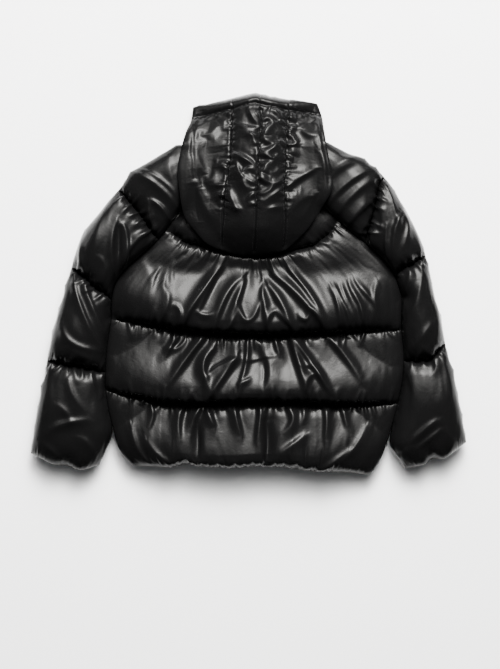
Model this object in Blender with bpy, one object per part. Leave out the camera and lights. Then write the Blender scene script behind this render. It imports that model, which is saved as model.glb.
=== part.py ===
"""A hooded puffer jacket, laid face down with its hood fallen on the upper back.

The jacket lies on the plane z = 0. +Z points up from the back panel, +Y runs from hem
to neck, and the wearer's left is at -X. Every sewn piece is one padded wall: a plain
inner face, and an outer face that its quilting raises between the stitched lines.
The fronts lie flat on the plane, the back lies on the fronts, each sleeve is one wall
folded along its outer edge, and the hood is folded round its own edge in the same way.
"""

import math

import bmesh
import bpy
import numpy as np
from mathutils import Vector
from mathutils.bvhtree import BVHTree

COLLECTION = "puffer_jacket"
MM = 0.001

# Levels and walls, in metres.
LINING_LEVEL = 0.028        # height where the insides of fronts and back meet
SLIT = 0.0006               # free height between two layers that lie on each other
SEAM_GAP = 0.0004           # each piece keeps this much clear of its own seam line
STITCHED_WALL = 0.0045      # wall left where a line of stitching pulls it thin
EDGE_WALL = 0.0030          # wall left at a free or folded edge
EDGE_ROUND = 0.044          # how far in from a free edge the padding reaches its height
SEAM_ROUND = 0.030          # the same beside a raglan seam
UNDER_ROUND = 0.024         # how far in from a free edge the underside comes down flat
FOLD_CORE = 0.012           # padding between a sleeve's hollow and its folded edge

CENTRE_X = 0.010            # centre front and centre back

# Grid of the walls.
BODY_COLUMNS = 46
CHANNEL_ROWS = 10
YOKE_ROWS = 7
SLEEVE_COLUMNS = 13
SLEEVE_UNDER_COLUMNS = 6
SLEEVE_ROWS = [13, 10, 8, 9]

# Seam lines and edges seen from above: (x, y) in millimetres, from left to right or
# from neck to hem.
NECK_BACK = [(-74, 274.5), (10, 268.5), (96, 274.5)]
LINE_A = [(-166.5, 106), (-140.5, 93), (-122.5, 81), (-84.5, 74), (16, 56),
          (111.5, 72), (139.5, 86), (163, 104), (175.5, 126)]
LINE_B = [(-272.5, -70), (-196.5, -82), (-96.5, -96), (23.5, -102), (163.5, -98),
          (305.5, -92)]
LINE_C = [(-284.5, -210), (-250.5, -220), (-210.5, -227), (-174.5, -234),
          (-112.5, -238), (-46.5, -236), (23.5, -234), (143.5, -238), (221.5, -240),
          (297.5, -238)]
HEM = [(-228.5, -362), (-190.5, -364), (-154.5, -366), (-122.5, -359), (-92.5, -364),
       (-30.5, -367), (23.5, -364), (69.5, -366), (131.5, -374), (199.5, -376),
       (235.5, -379), (249.5, -372)]

RAGLAN_LEFT = [(-74, 274.5), (-83, 252), (-97, 224), (-115, 182), (-139, 140),
               (-163, 108), (-181, 85), (-214, 55), (-242, 30), (-264, 0), (-272, -32),
               (-272.5, -68)]
RAGLAN_RIGHT = [(96, 274.5), (104, 252), (115, 224), (129, 188), (147, 156), (176, 128),
                (203, 105), (231, 82), (258, 57), (279, 34), (294, 9), (306, -28)]
SIDE_LEFT = [(-272.5, -68), (-280.5, -120), (-284.5, -170), (-284.5, -210),
             (-277.5, -252), (-268, -292), (-260.5, -321), (-247.5, -342), (-228.5, -362)]
SIDE_RIGHT = [(306, -28), (305.5, -60), (305.5, -92), (310, -142), (307, -192),
              (297.5, -238), (287.5, -276), (276.5, -314), (265.5, -344), (249.5, -372)]
UNDERARM_LEFT = [(-274, -68), (-284, -120), (-288.5, -170), (-288.5, -210),
                 (-281.5, -252), (-273, -296), (-284, -336), (-296, -360)]
UNDERARM_RIGHT = [(307.5, -28), (310.5, -60), (310.5, -92), (314, -142), (311, -192),
                  (301.5, -238), (291.5, -276), (282, -316), (293, -340), (312, -367)]

# Sleeve: outer folded edge from neck to cuff, and the three stitched lines across it.
OUTER_LEFT = [(-100, 276.5), (-131, 275), (-148, 271), (-190, 247), (-230, 221),
              (-257.5, 187), (-290, 148), (-327, 98), (-351.5, 32), (-372, -38),
              (-388, -96), (-400, -153), (-412, -212), (-422, -268), (-432.5, -337)]
OUTER_RIGHT = [(120, 281), (155, 279.5), (196, 261), (234, 244), (269.5, 213),
               (301, 166), (333, 106), (352.5, 56), (369, -18), (382, -68),
               (391.5, -118), (408, -182), (423, -256), (433.5, -315)]
ACROSS_LEFT = [
    [(-74, 274.5), (-87, 276), (-100, 276.5)],
    [(-178.5, 88), (-190.5, 102), (-218.5, 142), (-257.5, 187)],
    [(-272, -32), (-280.5, -24), (-302.5, -8), (-326.5, 14), (-351.5, 32)],
    [(-288, -176), (-328.5, -166), (-364.5, -160), (-400, -153)],
    [(-296, -360), (-333, -371), (-362, -361), (-390, -359), (-432.5, -337)],
]
ACROSS_RIGHT = [
    [(96, 274.5), (108, 278), (120, 281)],
    [(231, 82), (247.5, 138), (259.5, 194), (269.5, 213)],
    [(294, 9), (300, 26), (323.5, 38), (352.5, 56)],
    [(313.5, -153), (337.5, -152), (363.5, -148), (391.5, -118)],
    [(312, -367), (348, -361), (366, -347), (392, -347), (433.5, -315)],
]

# Hood: edges and seams from rim to bottom, and the rim and bottom lines from left to right.
HOOD_LEFT = [(-110, 353), (-114, 324), (-124, 300), (-133, 265), (-139, 228), (-135, 178),
             (-126, 132), (-104, 101), (-83, 79), (-59, 67)]
HOOD_RIGHT = [(138, 359), (147, 332), (150, 308), (156, 268), (164, 220), (165, 186),
              (147, 152), (120, 110), (96, 85), (75, 67)]
SEAM_LEFT = [(-35, 370), (-30, 344), (-33, 312), (-34, 272), (-38, 232), (-43, 192),
             (-48, 158), (-50, 124), (-52, 92), (-53, 66)]
SEAM_MIDDLE = [(25, 379), (25, 350), (25, 312), (22, 272), (21, 232), (19, 188),
               (17, 152), (15, 116), (13, 80), (11, 56)]
SEAM_RIGHT = [(82, 368), (81, 344), (77, 312), (76, 272), (75, 232), (72, 188), (73, 154),
              (74, 118), (73, 90), (70, 65)]
HOOD_RIM = [(-110, 353), (-74, 361), (-35, 370), (8, 380), (25, 379), (44, 375), (82, 368),
            (135, 361), (138, 359)]
HOOD_SIDE_LINE = [(-108, 326), (-110, 268), (-106, 208)]
HOOD_BOTTOM = [(-59, 67), (-53, 66), (-23, 58), (11, 56), (28, 57), (70, 65), (75, 67)]
# Heights up the left edge at which the hood's rows start, in millimetres. The neck rows
# end the chin, meet the neck, and begin the nape.
HOOD_STATIONS = [353, 349, 342, 334, 327, 315, 302, 290, 283, 277, 270, 262, 250, 235, 218,
                 200, 182, 164, 146, 128, 112, 99, 88, 78, 71, 67]
NECK_ROW = HOOD_STATIONS.index(277)
HOOD_COLUMNS = 8
HOOD_UNDER_COLUMNS = 7
NAPE_ROWS = 15
HOOD_SLIT = 0.0020
HOOD_ROUND = 0.052          # how far in from the hood's edge the crown reaches its height
HOOD_UNDER_ROUND = 0.016
HOOD_CORE = 0.010           # padding between the hood's hollow and its folded edge
RIM_ROUND = 0.009
NAPE_WALL = 0.009
CHIN_WALLS = [(270, 26), (300, 24), (330, 14), (353, 9)]
CROWN_LEVELS = [(56, 66), (80, 78), (105, 87), (140, 92), (180, 90), (220, 83), (260, 73),
                (300, 61), (340, 46), (362, 38), (380, 32)]
STEP_START = 0.292          # where the hood's hollow starts to climb from chin to nape
STEP_END = 0.268
SHOULDER_START = 0.309      # the same for the edge that steps over a sleeve's end
SHOULDER_END = 0.276
NECK_NAPE = 0.2705          # top of the nape
NECK_STEP = 0.2755          # below this the hood's lower layer lies on the body
NAPE_TOP = 0.262            # the body's own level is read no further up than this
NECK_HALF = 0.085           # half width of the neck opening, and how far it fades out
NECK_FADE = 0.030
HOOD_CLEAR = 0.008          # the crown clears the highest lower layer within this
CROWN_LEAST = 0.004
CASING_LINE = 0.005
REACH = 0.015               # the hood rests on the highest point within this distance
SEAM_DIP = 0.0065           # how deep the crown dips at its seams
SEAM_DIP_WIDTH = 0.012
CASING_DEPTH = 0.024        # turned hem round the face opening

# Padding heights between the stitched lines, hem to neck and neck to cuff.
BODY_PADDING = [0.036, 0.040, 0.040, 0.016]
SLEEVE_PADDING = [0.024, 0.036, 0.036, 0.032]
PUFF_SHAPE = 2.4
PUFF_FULLNESS = 0.60

# Largest folds: start and end in millimetres, half width and height (a trough is < 0).
FOLD_COLUMNS = ("x0", "y0", "x1", "y1", "width", "height")
BACK_FOLDS = [
    (-58, 24, -135, -84, 11, 7),
    (-80, 20, -160, -60, 12, -5),
    (-17, 6, -69, -78, 11, 6),
    (-36, 0, -100, -80, 10, -5),
    (-5, -45, -8, -92, 12, -4),
    (40, -10, 84, -84, 11, 6),
    (48, 14, 150, -84, 12, 6),
    (30, 0, 66, -84, 10, -4),
    (66, 10, 176, -70, 12, -5),
    (163, -14, 176, -75, 12, 5),
    (-86, -104, -155, -188, 12, 7),
    (-110, -102, -175, -170, 11, -5),
    (-81, -136, -83, -184, 11, 5),
    (-28, -152, -83, -222, 12, 6),
    (83, -114, 112, -200, 11, 6),
    (88, -118, 156, -206, 11, 5),
    (100, -108, 128, -170, 10, -4),
    (152, -104, 216, -184, 12, 6),
    (-132, -236, -135, -300, 10, 5),
    (-98, -272, -105, -345, 13, -10),
    (-72, -262, -78, -330, 11, 5),
    (-28, -242, -19, -292, 10, 5),
    (24, -242, 18, -304, 9, 4),
    (36, -270, 38, -358, 13, -11),
    (70, -240, 84, -270, 10, 5),
    (152, -252, 150, -300, 10, 5),
    (106, -300, 64, -330, 10, 5),
    (192, -330, 132, -366, 11, 5),
    (-190, -330, -160, -356, 11, 4),
]
SLEEVE_FOLDS = [
    (-254, 124, -252, 12, 10, -9),
    (-228, 218, -136, 134, 12, 6),
    (-190, 166, -156, 118, 10, 5),
    (-290, 120, -310, 60, 11, 5),
    (-340, 0, -286, -134, 12, 7),
    (-310, 0, -296, -60, 11, -5),
    (-364, -84, -304, -132, 11, 5),
    (-386, -286, -334, -288, 11, 5),
    (-350, -190, -330, -250, 12, -4),
    (152, 160, 252, 248, 12, 6),
    (170, 150, 256, 196, 10, -5),
    (200, 120, 262, 150, 10, 5),
    (280, 100, 312, 40, 12, -5),
    (330, 30, 350, -90, 12, 5),
    (364, -272, 334, -302, 11, 5),
    (380, -170, 350, -240, 12, -4),
]

# Zip, in the flat underside, closed up to the chin.
ZIP_ROOM = 0.0046           # depth of the fronts' step that takes the zip
ZIP_STEP = 0.0124           # half width of that step
ZIP_HALF_WIDTH = 0.0116
ZIP_THICKNESS = 0.0041
ZIP_TOP = 0.244
ZIP_BOTTOM = -0.356
SLIDER_OUTLINE = [(-5.0, 0), (5.0, 0), (5.5, 6), (4.0, 11), (3.0, 13), (3.5, 34), (-3.5, 34),
                  (-3.0, 13), (-4.0, 11), (-5.5, 6)]
SLIDER_THICKNESS = 0.0036
FRONT_ROWS = 52
FRONT_HEM_RISE = 0.005      # the fronts end this much short of the back's hem
FRONT_NECK = (0.2815, 0.2855)  # top of each front at the zip, just under the chin

PIECE_COLOURS = {
    "shell": (0.010, 0.010, 0.011),
    "zip": (0.012, 0.012, 0.013),
    "slider": (0.020, 0.020, 0.022),
}


def smooth_path(points, steps=12):
    """A smooth run through points given in millimetres, as points in metres."""
    knots = np.array(points, dtype=float) * MM
    run = np.vstack([2 * knots[0] - knots[1], knots, 2 * knots[-1] - knots[-2]])
    t = np.linspace(0.0, 1.0, steps, endpoint=False)[:, None]
    spans = []
    for before, start, end, after in zip(run, run[1:], run[2:], run[3:]):
        linear = (end - before) * t
        square = (2 * before - 5 * start + 4 * end - after) * t ** 2
        cube = (3 * start - before - 3 * end + after) * t ** 3
        spans.append(start + 0.5 * (linear + square + cube))
    spans.append(knots[-1:])
    return np.vstack(spans)


def along(path, fractions):
    """Points at these fractions of a path's length."""
    steps = np.hypot(*np.diff(path, axis=0).T)
    length = np.concatenate([[0.0], np.cumsum(steps)])
    wanted = np.asarray(fractions) * length[-1]
    return np.stack([np.interp(wanted, length, path[:, k]) for k in (0, 1)], axis=-1)


def cut(path, start, end, axis=1):
    """The stretch of a path between two values of x or y, which run one way along it."""
    values = path[:, axis]
    if values[0] > values[-1]:
        values = -values
        start, end = -start, -end
    places = np.arange(len(path))
    first, last = np.interp([start, end], values, places)
    low, high = sorted((first, last))
    inner = places[(places > low + 1e-6) & (places < high - 1e-6)]
    wanted = np.concatenate([[low], inner, [high]])
    if first > last:
        wanted = wanted[::-1]
    return np.stack([np.interp(wanted, places, path[:, k]) for k in (0, 1)], axis=-1)


def at_height(path, y):
    """Points where a path that runs down the garment has these heights."""
    x = np.interp(-np.asarray(y), -path[:, 1], path[:, 0])
    return np.stack([x, np.broadcast_to(y, np.shape(x))], axis=-1)


def crowded(count, pull):
    """Fractions from 0 to 1 that lie closer together near both ends."""
    t = np.linspace(0.0, 1.0, count + 1)
    return t - pull * np.sin(2 * math.pi * t) / (2 * math.pi)


def patch(low, high, left, right, u, v):
    """A grid of points between four rows of points that meet at the corners."""
    across = u[None, :, None]
    up = v[:, None, None]
    ruled = (1 - up) * low[None] + up * high[None]
    sides = (1 - across) * left[:, None] + across * right[:, None]
    corners = ((1 - up) * ((1 - across) * low[0] + across * low[-1])
               + up * ((1 - across) * high[0] + across * high[-1]))
    return ruled + sides - corners


def patch_between(low, high, left, right, u, v):
    """The same between four paths."""
    return patch(along(low, u), along(high, u), along(left, v), along(right, v), u, v)


def distance(points, path):
    """Distance from each grid point to a path, seen from above."""
    start = path[:-1]
    span = path[1:] - start
    offset = points[..., None, :] - start
    t = np.clip((offset * span).sum(-1) / (span ** 2).sum(-1), 0.0, 1.0)
    gap = offset - t[..., None] * span
    return np.sqrt((gap ** 2).sum(-1).min(-1))


def roll(depth, radius):
    """Rises from 0 at an edge to 1 at the radius, along a quarter of a circle."""
    t = np.clip(depth / radius, 0.0, 1.0)
    return np.sqrt(1.0 - (1.0 - t) ** 2)


def ease(value):
    """A soft step from 0 to 1."""
    t = np.clip(value, 0.0, 1.0)
    return t * t * (3.0 - 2.0 * t)


def puff(fraction):
    """The height of the padding between two lines of stitching."""
    return (1.0 - np.abs(2.0 * fraction - 1.0) ** PUFF_SHAPE) ** PUFF_FULLNESS


def folds(points, table):
    """Height of the folds that a table lists, at each grid point."""
    height = np.zeros(points.shape[:-1])
    for row in table:
        fold = dict(zip(FOLD_COLUMNS, row))
        start = np.array([fold["x0"], fold["y0"]]) * MM
        span = np.array([fold["x1"], fold["y1"]]) * MM - start
        width = fold["width"] * MM
        t = np.clip(((points - start) @ span) / (span @ span), 0.0, 1.0)
        away = np.hypot(*np.moveaxis(points - start - t[..., None] * span, -1, 0))
        swell = 0.45 + 0.55 * np.sin(math.pi * t)
        height += fold["height"] * MM * swell * np.exp(-(away / width) ** 2)
    return height


def inset(points):
    """Draws a grid's outer rows and columns in by the seam gap."""
    moved = points.copy()
    for edge, inner in ((np.s_[:, 0], np.s_[:, 1]), (np.s_[:, -1], np.s_[:, -2]),
                        (np.s_[0], np.s_[1]), (np.s_[-1], np.s_[-2])):
        step = points[inner] - points[edge]
        size = np.hypot(*np.moveaxis(step, -1, 0))[..., None]
        moved[edge] += SEAM_GAP * step / np.maximum(size, 1e-6)
    return moved


def raised(points, height):
    """Grid points seen from above, given their heights."""
    return np.concatenate([points, np.broadcast_to(height, points.shape[:-1])[..., None]], -1)


def wall(name, outer, inner, material, collection):
    """A closed wall between two grids of points with the same rows and columns."""
    rows, columns = outer.shape[:2]
    mesh = bmesh.new()
    skins = []
    for grid in (outer, inner):
        skins.append([[mesh.verts.new(grid[i, j]) for j in range(columns)]
                      for i in range(rows)])
    out, back = skins
    for i in range(rows - 1):
        for j in range(columns - 1):
            mesh.faces.new((out[i][j], out[i][j + 1], out[i + 1][j + 1], out[i + 1][j]))
            mesh.faces.new((back[i][j], back[i + 1][j], back[i + 1][j + 1], back[i][j + 1]))
    for i in range(rows - 1):
        mesh.faces.new((out[i + 1][0], back[i + 1][0], back[i][0], out[i][0]))
        mesh.faces.new((out[i][-1], back[i][-1], back[i + 1][-1], out[i + 1][-1]))
    for j in range(columns - 1):
        mesh.faces.new((out[0][j], back[0][j], back[0][j + 1], out[0][j + 1]))
        mesh.faces.new((out[-1][j + 1], back[-1][j + 1], back[-1][j], out[-1][j]))
    bmesh.ops.recalc_face_normals(mesh, faces=mesh.faces)
    merge_flat_faces(mesh)
    return add_object(name, mesh, material, collection)


def merge_flat_faces(mesh):
    """Joins neighbouring faces that lie in one level plane."""
    level = [face for face in mesh.faces if abs(face.normal.z) > 0.999999]
    inner_edges = {edge for face in level for edge in face.edges
                   if all(abs(other.normal.z) > 0.999999 for other in edge.link_faces)}
    bmesh.ops.dissolve_limit(mesh, angle_limit=math.radians(0.05), verts=[],
                             edges=list(inner_edges))


def add_object(name, mesh, material, collection):
    """Turns a bmesh into an object with its own material, shaded smooth."""
    data = bpy.data.meshes.new(name)
    mesh.to_mesh(data)
    mesh.free()
    data.shade_smooth()
    data.set_sharp_from_angle(angle=math.radians(50))
    data.materials.append(material)
    item = bpy.data.objects.new(name, data)
    collection.objects.link(item)
    return item


def shell_material(name, colour, roughness, metallic=0.0):
    """A Principled material of one colour."""
    material = bpy.data.materials.new(name)
    material.use_nodes = True
    shader = material.node_tree.nodes["Principled BSDF"]
    shader.inputs["Base Color"].default_value = (*colour, 1.0)
    shader.inputs["Roughness"].default_value = roughness
    shader.inputs["Metallic"].default_value = metallic
    return material


class Pattern:
    """The seam lines of the whole garment, as smooth runs of points in metres."""

    def __init__(self):
        self.raglan = [smooth_path(RAGLAN_LEFT), smooth_path(RAGLAN_RIGHT)]
        self.side = [smooth_path(SIDE_LEFT), smooth_path(SIDE_RIGHT)]
        self.underarm = [smooth_path(UNDERARM_LEFT), smooth_path(UNDERARM_RIGHT)]
        self.outer = [smooth_path(OUTER_LEFT), smooth_path(OUTER_RIGHT)]
        self.across = [[smooth_path(line) for line in ACROSS_LEFT],
                       [smooth_path(line) for line in ACROSS_RIGHT]]
        self.body = [np.vstack([self.raglan[s], self.side[s][1:]]) for s in (0, 1)]
        self.sleeve = [np.vstack([self.raglan[s], self.underarm[s][1:]]) for s in (0, 1)]
        self.lines = [smooth_path(line) for line in (HEM, LINE_C, LINE_B, LINE_A, NECK_BACK)]
        self.hood_edge = [smooth_path(HOOD_LEFT), smooth_path(HOOD_RIGHT)]
        self.hood_seams = [smooth_path(line) for line in
                           (SEAM_LEFT, SEAM_MIDDLE, SEAM_RIGHT)]
        self.hood_rim = smooth_path(HOOD_RIM)
        self.hood_bottom = smooth_path(HOOD_BOTTOM)
        self.hood_outline = np.vstack([self.hood_edge[0], self.hood_bottom[1:-1],
                                       self.hood_edge[1][::-1]])


def between(line, left, right):
    """A line with its ends moved onto the two edges that it runs between."""
    start = at_height(left, line[0, 1])
    end = at_height(right, line[-1, 1])
    t = np.linspace(0.0, 1.0, len(line))[:, None]
    return line + (1 - t) * (start - line[0]) + t * (end - line[-1])


def back_panel(pattern, material, collection):
    """The back: four padded channels from hem to neck."""
    left, right = pattern.body
    lines = [between(line, left, right) for line in pattern.lines]
    across = crowded(BODY_COLUMNS, 0.6)
    grids = []
    heights = []
    for k, padding in enumerate(BODY_PADDING):
        low, high = lines[k], lines[k + 1]
        rows = YOKE_ROWS if k == len(BODY_PADDING) - 1 else CHANNEL_ROWS
        up = crowded(rows, 0.5)
        grid = patch_between(low, high, cut(left, low[0, 1], high[0, 1]),
                             cut(right, low[-1, 1], high[-1, 1]), across, up)
        first = 0 if k == 0 else 1
        grids.append(grid[first:])
        heights.append(np.repeat(padding * puff(up)[first:, None], len(across), axis=1))
    points = np.vstack(grids)
    padding = np.vstack(heights)
    side = np.minimum(distance(points, pattern.side[0]), distance(points, pattern.side[1]))
    seam = np.minimum(distance(points, pattern.raglan[0]), distance(points, pattern.raglan[1]))
    round_off = roll(side, EDGE_ROUND) * roll(seam, SEAM_ROUND)
    thin = EDGE_WALL + (STITCHED_WALL - EDGE_WALL) * roll(side, EDGE_ROUND)
    soft = np.sqrt(padding / max(BODY_PADDING)) * round_off
    top = LINING_LEVEL + thin + padding * round_off + folds(points, BACK_FOLDS) * soft
    points = inset(points)
    outer = raised(points, np.maximum(top, LINING_LEVEL + EDGE_WALL))
    inner = raised(points, LINING_LEVEL + SLIT / 2)
    return wall("back", outer, inner, material, collection)


def front_panel(side, pattern, material, collection):
    """One front: flat on the plane, its free edges rounding up, a step for the zip."""
    sign = (-1, 1)[side]
    step_x = CENTRE_X + sign * ZIP_STEP
    hem = between(pattern.lines[0] + np.array([0.0, FRONT_HEM_RISE]), *pattern.body)
    corner = hem[(0, -1)[side]]
    edge = cut(pattern.body[side], pattern.body[side][0, 1], corner[1])[::-1]
    if side == 0:
        hem = cut(hem, hem[0, 0], step_x, axis=0)
    else:
        hem = cut(hem, step_x, hem[-1, 0], axis=0)[::-1]
    neck = np.array([edge[-1], [step_x, FRONT_NECK[side]]])
    middle = np.array([hem[-1], neck[-1]])
    across = np.array([0.0, 0.012, 0.035, 0.07, 0.12, 0.3, 0.65, 1.0])
    up = np.concatenate([[0.0, 0.008, 0.022, 0.04], np.linspace(0.06, 1.0, FRONT_ROWS)])
    grid = patch_between(hem, neck, edge, middle, across, up)
    drawn = grid[:, -1:].copy()
    near = drawn.copy()
    near[..., 0] = CENTRE_X + sign * (ZIP_STEP - 0.0004)
    last = drawn.copy()
    last[..., 0] = CENTRE_X
    points = np.concatenate([grid, near, last], axis=1)
    free = roll(distance(points, pattern.side[side]), UNDER_ROUND)
    free = free * roll(distance(points, hem), UNDER_ROUND)
    low = (LINING_LEVEL - EDGE_WALL) * (1.0 - free)
    low[:, -2:] = np.maximum(low[:, -2:], ZIP_ROOM)
    points = inset(points)
    name = ("front_left", "front_right")[side]
    return wall(name, raised(points, low), raised(points, LINING_LEVEL - SLIT / 2),
                material, collection)


def sleeve_rows(side, pattern, across):
    """Grid of one sleeve seen from above, from neck to cuff, with its padding heights."""
    grids = []
    heights = []
    for k, padding in enumerate(SLEEVE_PADDING):
        up = crowded(SLEEVE_ROWS[k], 0.5)
        start, end = pattern.across[side][k:k + 2]
        start = between(start, pattern.sleeve[side], pattern.outer[side])
        end = between(end, pattern.sleeve[side], pattern.outer[side])
        inner_edge = cut(pattern.sleeve[side], start[0, 1], end[0, 1])
        outer_edge = cut(pattern.outer[side], start[-1, 1], end[-1, 1])
        grid = patch_between(start, end, inner_edge, outer_edge, across, up)
        first = 0 if k == 0 else 1
        grids.append(grid[first:])
        heights.append(np.repeat(padding * puff(up)[first:, None], len(across), axis=1))
    return np.vstack(grids), np.vstack(heights)


def drawn_in(points, across, depth):
    """The grid with each row shortened at its far end by a depth."""
    width = np.hypot(*(points[:, -1] - points[:, 0]).T)
    kept = 1.0 - np.minimum(depth / width, 0.5)
    rows = [np.stack([np.interp(across * keep, across, row[:, k]) for k in (0, 1)], axis=-1)
            for row, keep in zip(points, kept)]
    return np.array(rows)


def sleeve(side, pattern, material, collection):
    """One sleeve: a wall folded along its outer edge, with its seam at the underarm."""
    outer_path = pattern.outer[side]
    cuff = pattern.across[side][-1]

    def edges(points):
        seam = roll(distance(points, pattern.raglan[side]), SEAM_ROUND)
        underarm = distance(points, pattern.underarm[side])
        fold = distance(points, outer_path)
        return seam, underarm, fold

    across = crowded(SLEEVE_COLUMNS, 0.8)
    points, padding = sleeve_rows(side, pattern, across)
    seam, underarm, fold = edges(points)
    round_off = seam * roll(underarm, EDGE_ROUND)
    soft = np.sqrt(padding / max(SLEEVE_PADDING)) * round_off
    lift = STITCHED_WALL + padding * round_off + folds(points, SLEEVE_FOLDS) * soft
    top = LINING_LEVEL + np.maximum(lift, EDGE_WALL) * roll(fold, EDGE_ROUND)
    drawn = inset(points)
    drawn[:, -1] = points[:, -1]
    top_outer = raised(drawn, top)
    top_inner = raised(drawn_in(drawn, across, FOLD_CORE), LINING_LEVEL + SLIT / 2)
    top_inner[:, -1, 2] = LINING_LEVEL

    under = crowded(SLEEVE_UNDER_COLUMNS, 0.8)
    points, _ = sleeve_rows(side, pattern, under)
    _, underarm, fold = edges(points)
    base = LINING_LEVEL - EDGE_WALL * roll(fold, UNDER_ROUND)
    free = roll(fold, UNDER_ROUND) * roll(underarm, UNDER_ROUND)
    free = free * roll(distance(points, cuff), UNDER_ROUND)
    drawn = inset(points)
    under_outer = raised(drawn, base * (1.0 - free))[:, -2::-1]
    under_inner = raised(drawn_in(drawn, under, FOLD_CORE), LINING_LEVEL - SLIT / 2)[:, -2::-1]

    name = ("sleeve_left", "sleeve_right")[side]
    return wall(name, np.concatenate([top_outer, under_outer], axis=1),
                np.concatenate([top_inner, under_inner], axis=1), material, collection)


class HoodLevels:
    """Heights of the hood's layers, worked out from what lies under them."""

    def __init__(self, pattern, supports):
        self.pattern = pattern
        self.trees = [BVHTree.FromPolygons([v.co for v in item.data.vertices],
                                           [p.vertices for p in item.data.polygons])
                      for item in supports]

    def height_at(self, x, y):
        """The top of the body and sleeves at one place."""
        start = Vector((x, y, 1.0))
        down = Vector((0.0, 0.0, -1.0))
        hits = [tree.ray_cast(start, down)[0] for tree in self.trees]
        return max((hit.z for hit in hits if hit), default=LINING_LEVEL)

    def body(self, points):
        """The highest point of the body near each grid point, a slit higher."""
        ring = [(0.0, 0.0)] + [(REACH * math.cos(a), REACH * math.sin(a))
                               for a in np.linspace(0.0, 2 * math.pi, 8, endpoint=False)]
        flat = points.reshape(-1, 2)
        tops = [max(self.height_at(x + dx, min(y, NAPE_TOP) + dy) for dx, dy in ring)
                for x, y in flat]
        return np.array(tops).reshape(points.shape[:-1]) + SLIT

    def under(self, points):
        """Bottom and top of the hood's lower layer: chin on the plane, nape on the back."""
        x, y = np.moveaxis(points, -1, 0)
        body = self.body(points)
        walls = np.array(CHIN_WALLS) * MM
        chin = np.interp(y, walls[:, 0], walls[:, 1])
        climb = ease((STEP_START - y) / (STEP_START - STEP_END))
        beside = ease((np.abs(x - CENTRE_X) - NECK_HALF) / NECK_FADE)
        step = ease((SHOULDER_START - y) / (SHOULDER_START - SHOULDER_END)) * beside
        step = np.where(y <= NECK_STEP, 1.0, step)
        bottom = body * step
        top = chin * (1 - climb) + (body + NAPE_WALL) * climb
        return bottom, np.maximum(top, bottom + NAPE_WALL)

    def hollow(self, points):
        """Underside of the crown, clear of the layer under it."""
        shifts = [(0.0, 0.0), (0.0, -HOOD_CLEAR), (HOOD_CLEAR, 0.0), (-HOOD_CLEAR, 0.0)]
        tops = [self.under(points + np.array(shift))[1] for shift in shifts]
        return np.max(tops, axis=0) + HOOD_SLIT

    def crown(self, points):
        """Top of the crown: one dome, drawn in at its seams, its edge and its casing."""
        edge = distance(points, self.pattern.hood_outline)
        rim = distance(points, self.pattern.hood_rim)
        fold = self.under(points)[1] + HOOD_SLIT / 2
        hollow = self.hollow(points)
        levels = np.array(CROWN_LEVELS) * MM
        crest = np.interp(points[..., 1], levels[:, 0], levels[:, 1])
        swell = np.maximum(crest - hollow - STITCHED_WALL, CROWN_LEAST) * roll(rim, RIM_ROUND)
        lines = self.pattern.hood_seams + [smooth_path(HOOD_SIDE_LINE)]
        near = np.min([distance(points, line) for line in lines], axis=0)
        dip = SEAM_DIP * np.exp(-(near / SEAM_DIP_WIDTH) ** 2)
        casing = SEAM_DIP * np.exp(-((rim - CASING_DEPTH) / CASING_LINE) ** 2)
        swell = np.maximum(swell - np.maximum(dip, casing), 0.0)
        full = hollow - fold + STITCHED_WALL + swell
        return fold + full * roll(edge, HOOD_ROUND)

    def bottom(self, points):
        """Underside of the lower layer, rounding up to the fold at the hood's edge."""
        edge = distance(points, self.pattern.hood_outline)
        low, top = self.under(points)
        fold = top + HOOD_SLIT / 2
        return fold - (fold - low) * roll(edge, HOOD_UNDER_ROUND)


def station_fractions():
    """How far down the hood each of its rows lies, from 0 at the rim to 1."""
    stations = np.array(HOOD_STATIONS, dtype=float)
    return (stations[0] - stations) / (stations[0] - stations[-1])


def rows_down(path, fractions):
    """Points of a path that runs down the hood, at fractions of its height."""
    return at_height(path, path[0, 1] + fractions * (path[-1, 1] - path[0, 1]))


def hood_side(side, pattern, levels, material, collection):
    """A side of the hood: crown, folded edge, and the chin and nape parts below it."""
    seam = pattern.hood_seams[(0, 2)[side]]
    edge = pattern.hood_edge[side]
    down = station_fractions()
    across = crowded(HOOD_COLUMNS, 0.7)
    ends = [(seam[0, 0], edge[0, 0]), (seam[-1, 0], edge[-1, 0])]
    rim, bottom = [cut(path, *span, axis=0) for path, span in
                   zip((pattern.hood_rim, pattern.hood_bottom), ends)]
    edge_rows = rows_down(edge, down)
    points = patch(along(rim, across), along(bottom, across), rows_down(seam, down),
                   edge_rows, across, down)
    drawn = inset(points)
    drawn[:, -1] = points[:, -1]
    core = drawn_in(drawn, across, HOOD_CORE)
    top_outer = raised(drawn, levels.crown(drawn))
    top_inner = raised(core, levels.hollow(core))
    last = core[:, -1]
    top_inner[:, -1, 2] = levels.under(last)[1] + HOOD_SLIT / 2

    inner_rows = at_height(seam, edge_rows[:, 1])
    inner_rows[:NECK_ROW, 0] = CENTRE_X
    inner_rows[NECK_ROW] = pattern.outer[side][0]
    under = crowded(HOOD_UNDER_COLUMNS, 0.6)
    points = inner_rows[:, None] + under[None, :, None] * (edge_rows - inner_rows)[:, None]
    drawn = inset(points)
    core = drawn_in(drawn, under, HOOD_CORE)
    low_outer = raised(drawn, levels.bottom(drawn))[:, -2::-1]
    low_inner = raised(core, levels.under(core)[1])[:, -2::-1]

    name = ("hood_side_left", "hood_side_right")[side]
    return wall(name, np.concatenate([top_outer, low_outer], axis=1),
                np.concatenate([top_inner, low_inner], axis=1), material, collection)


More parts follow.
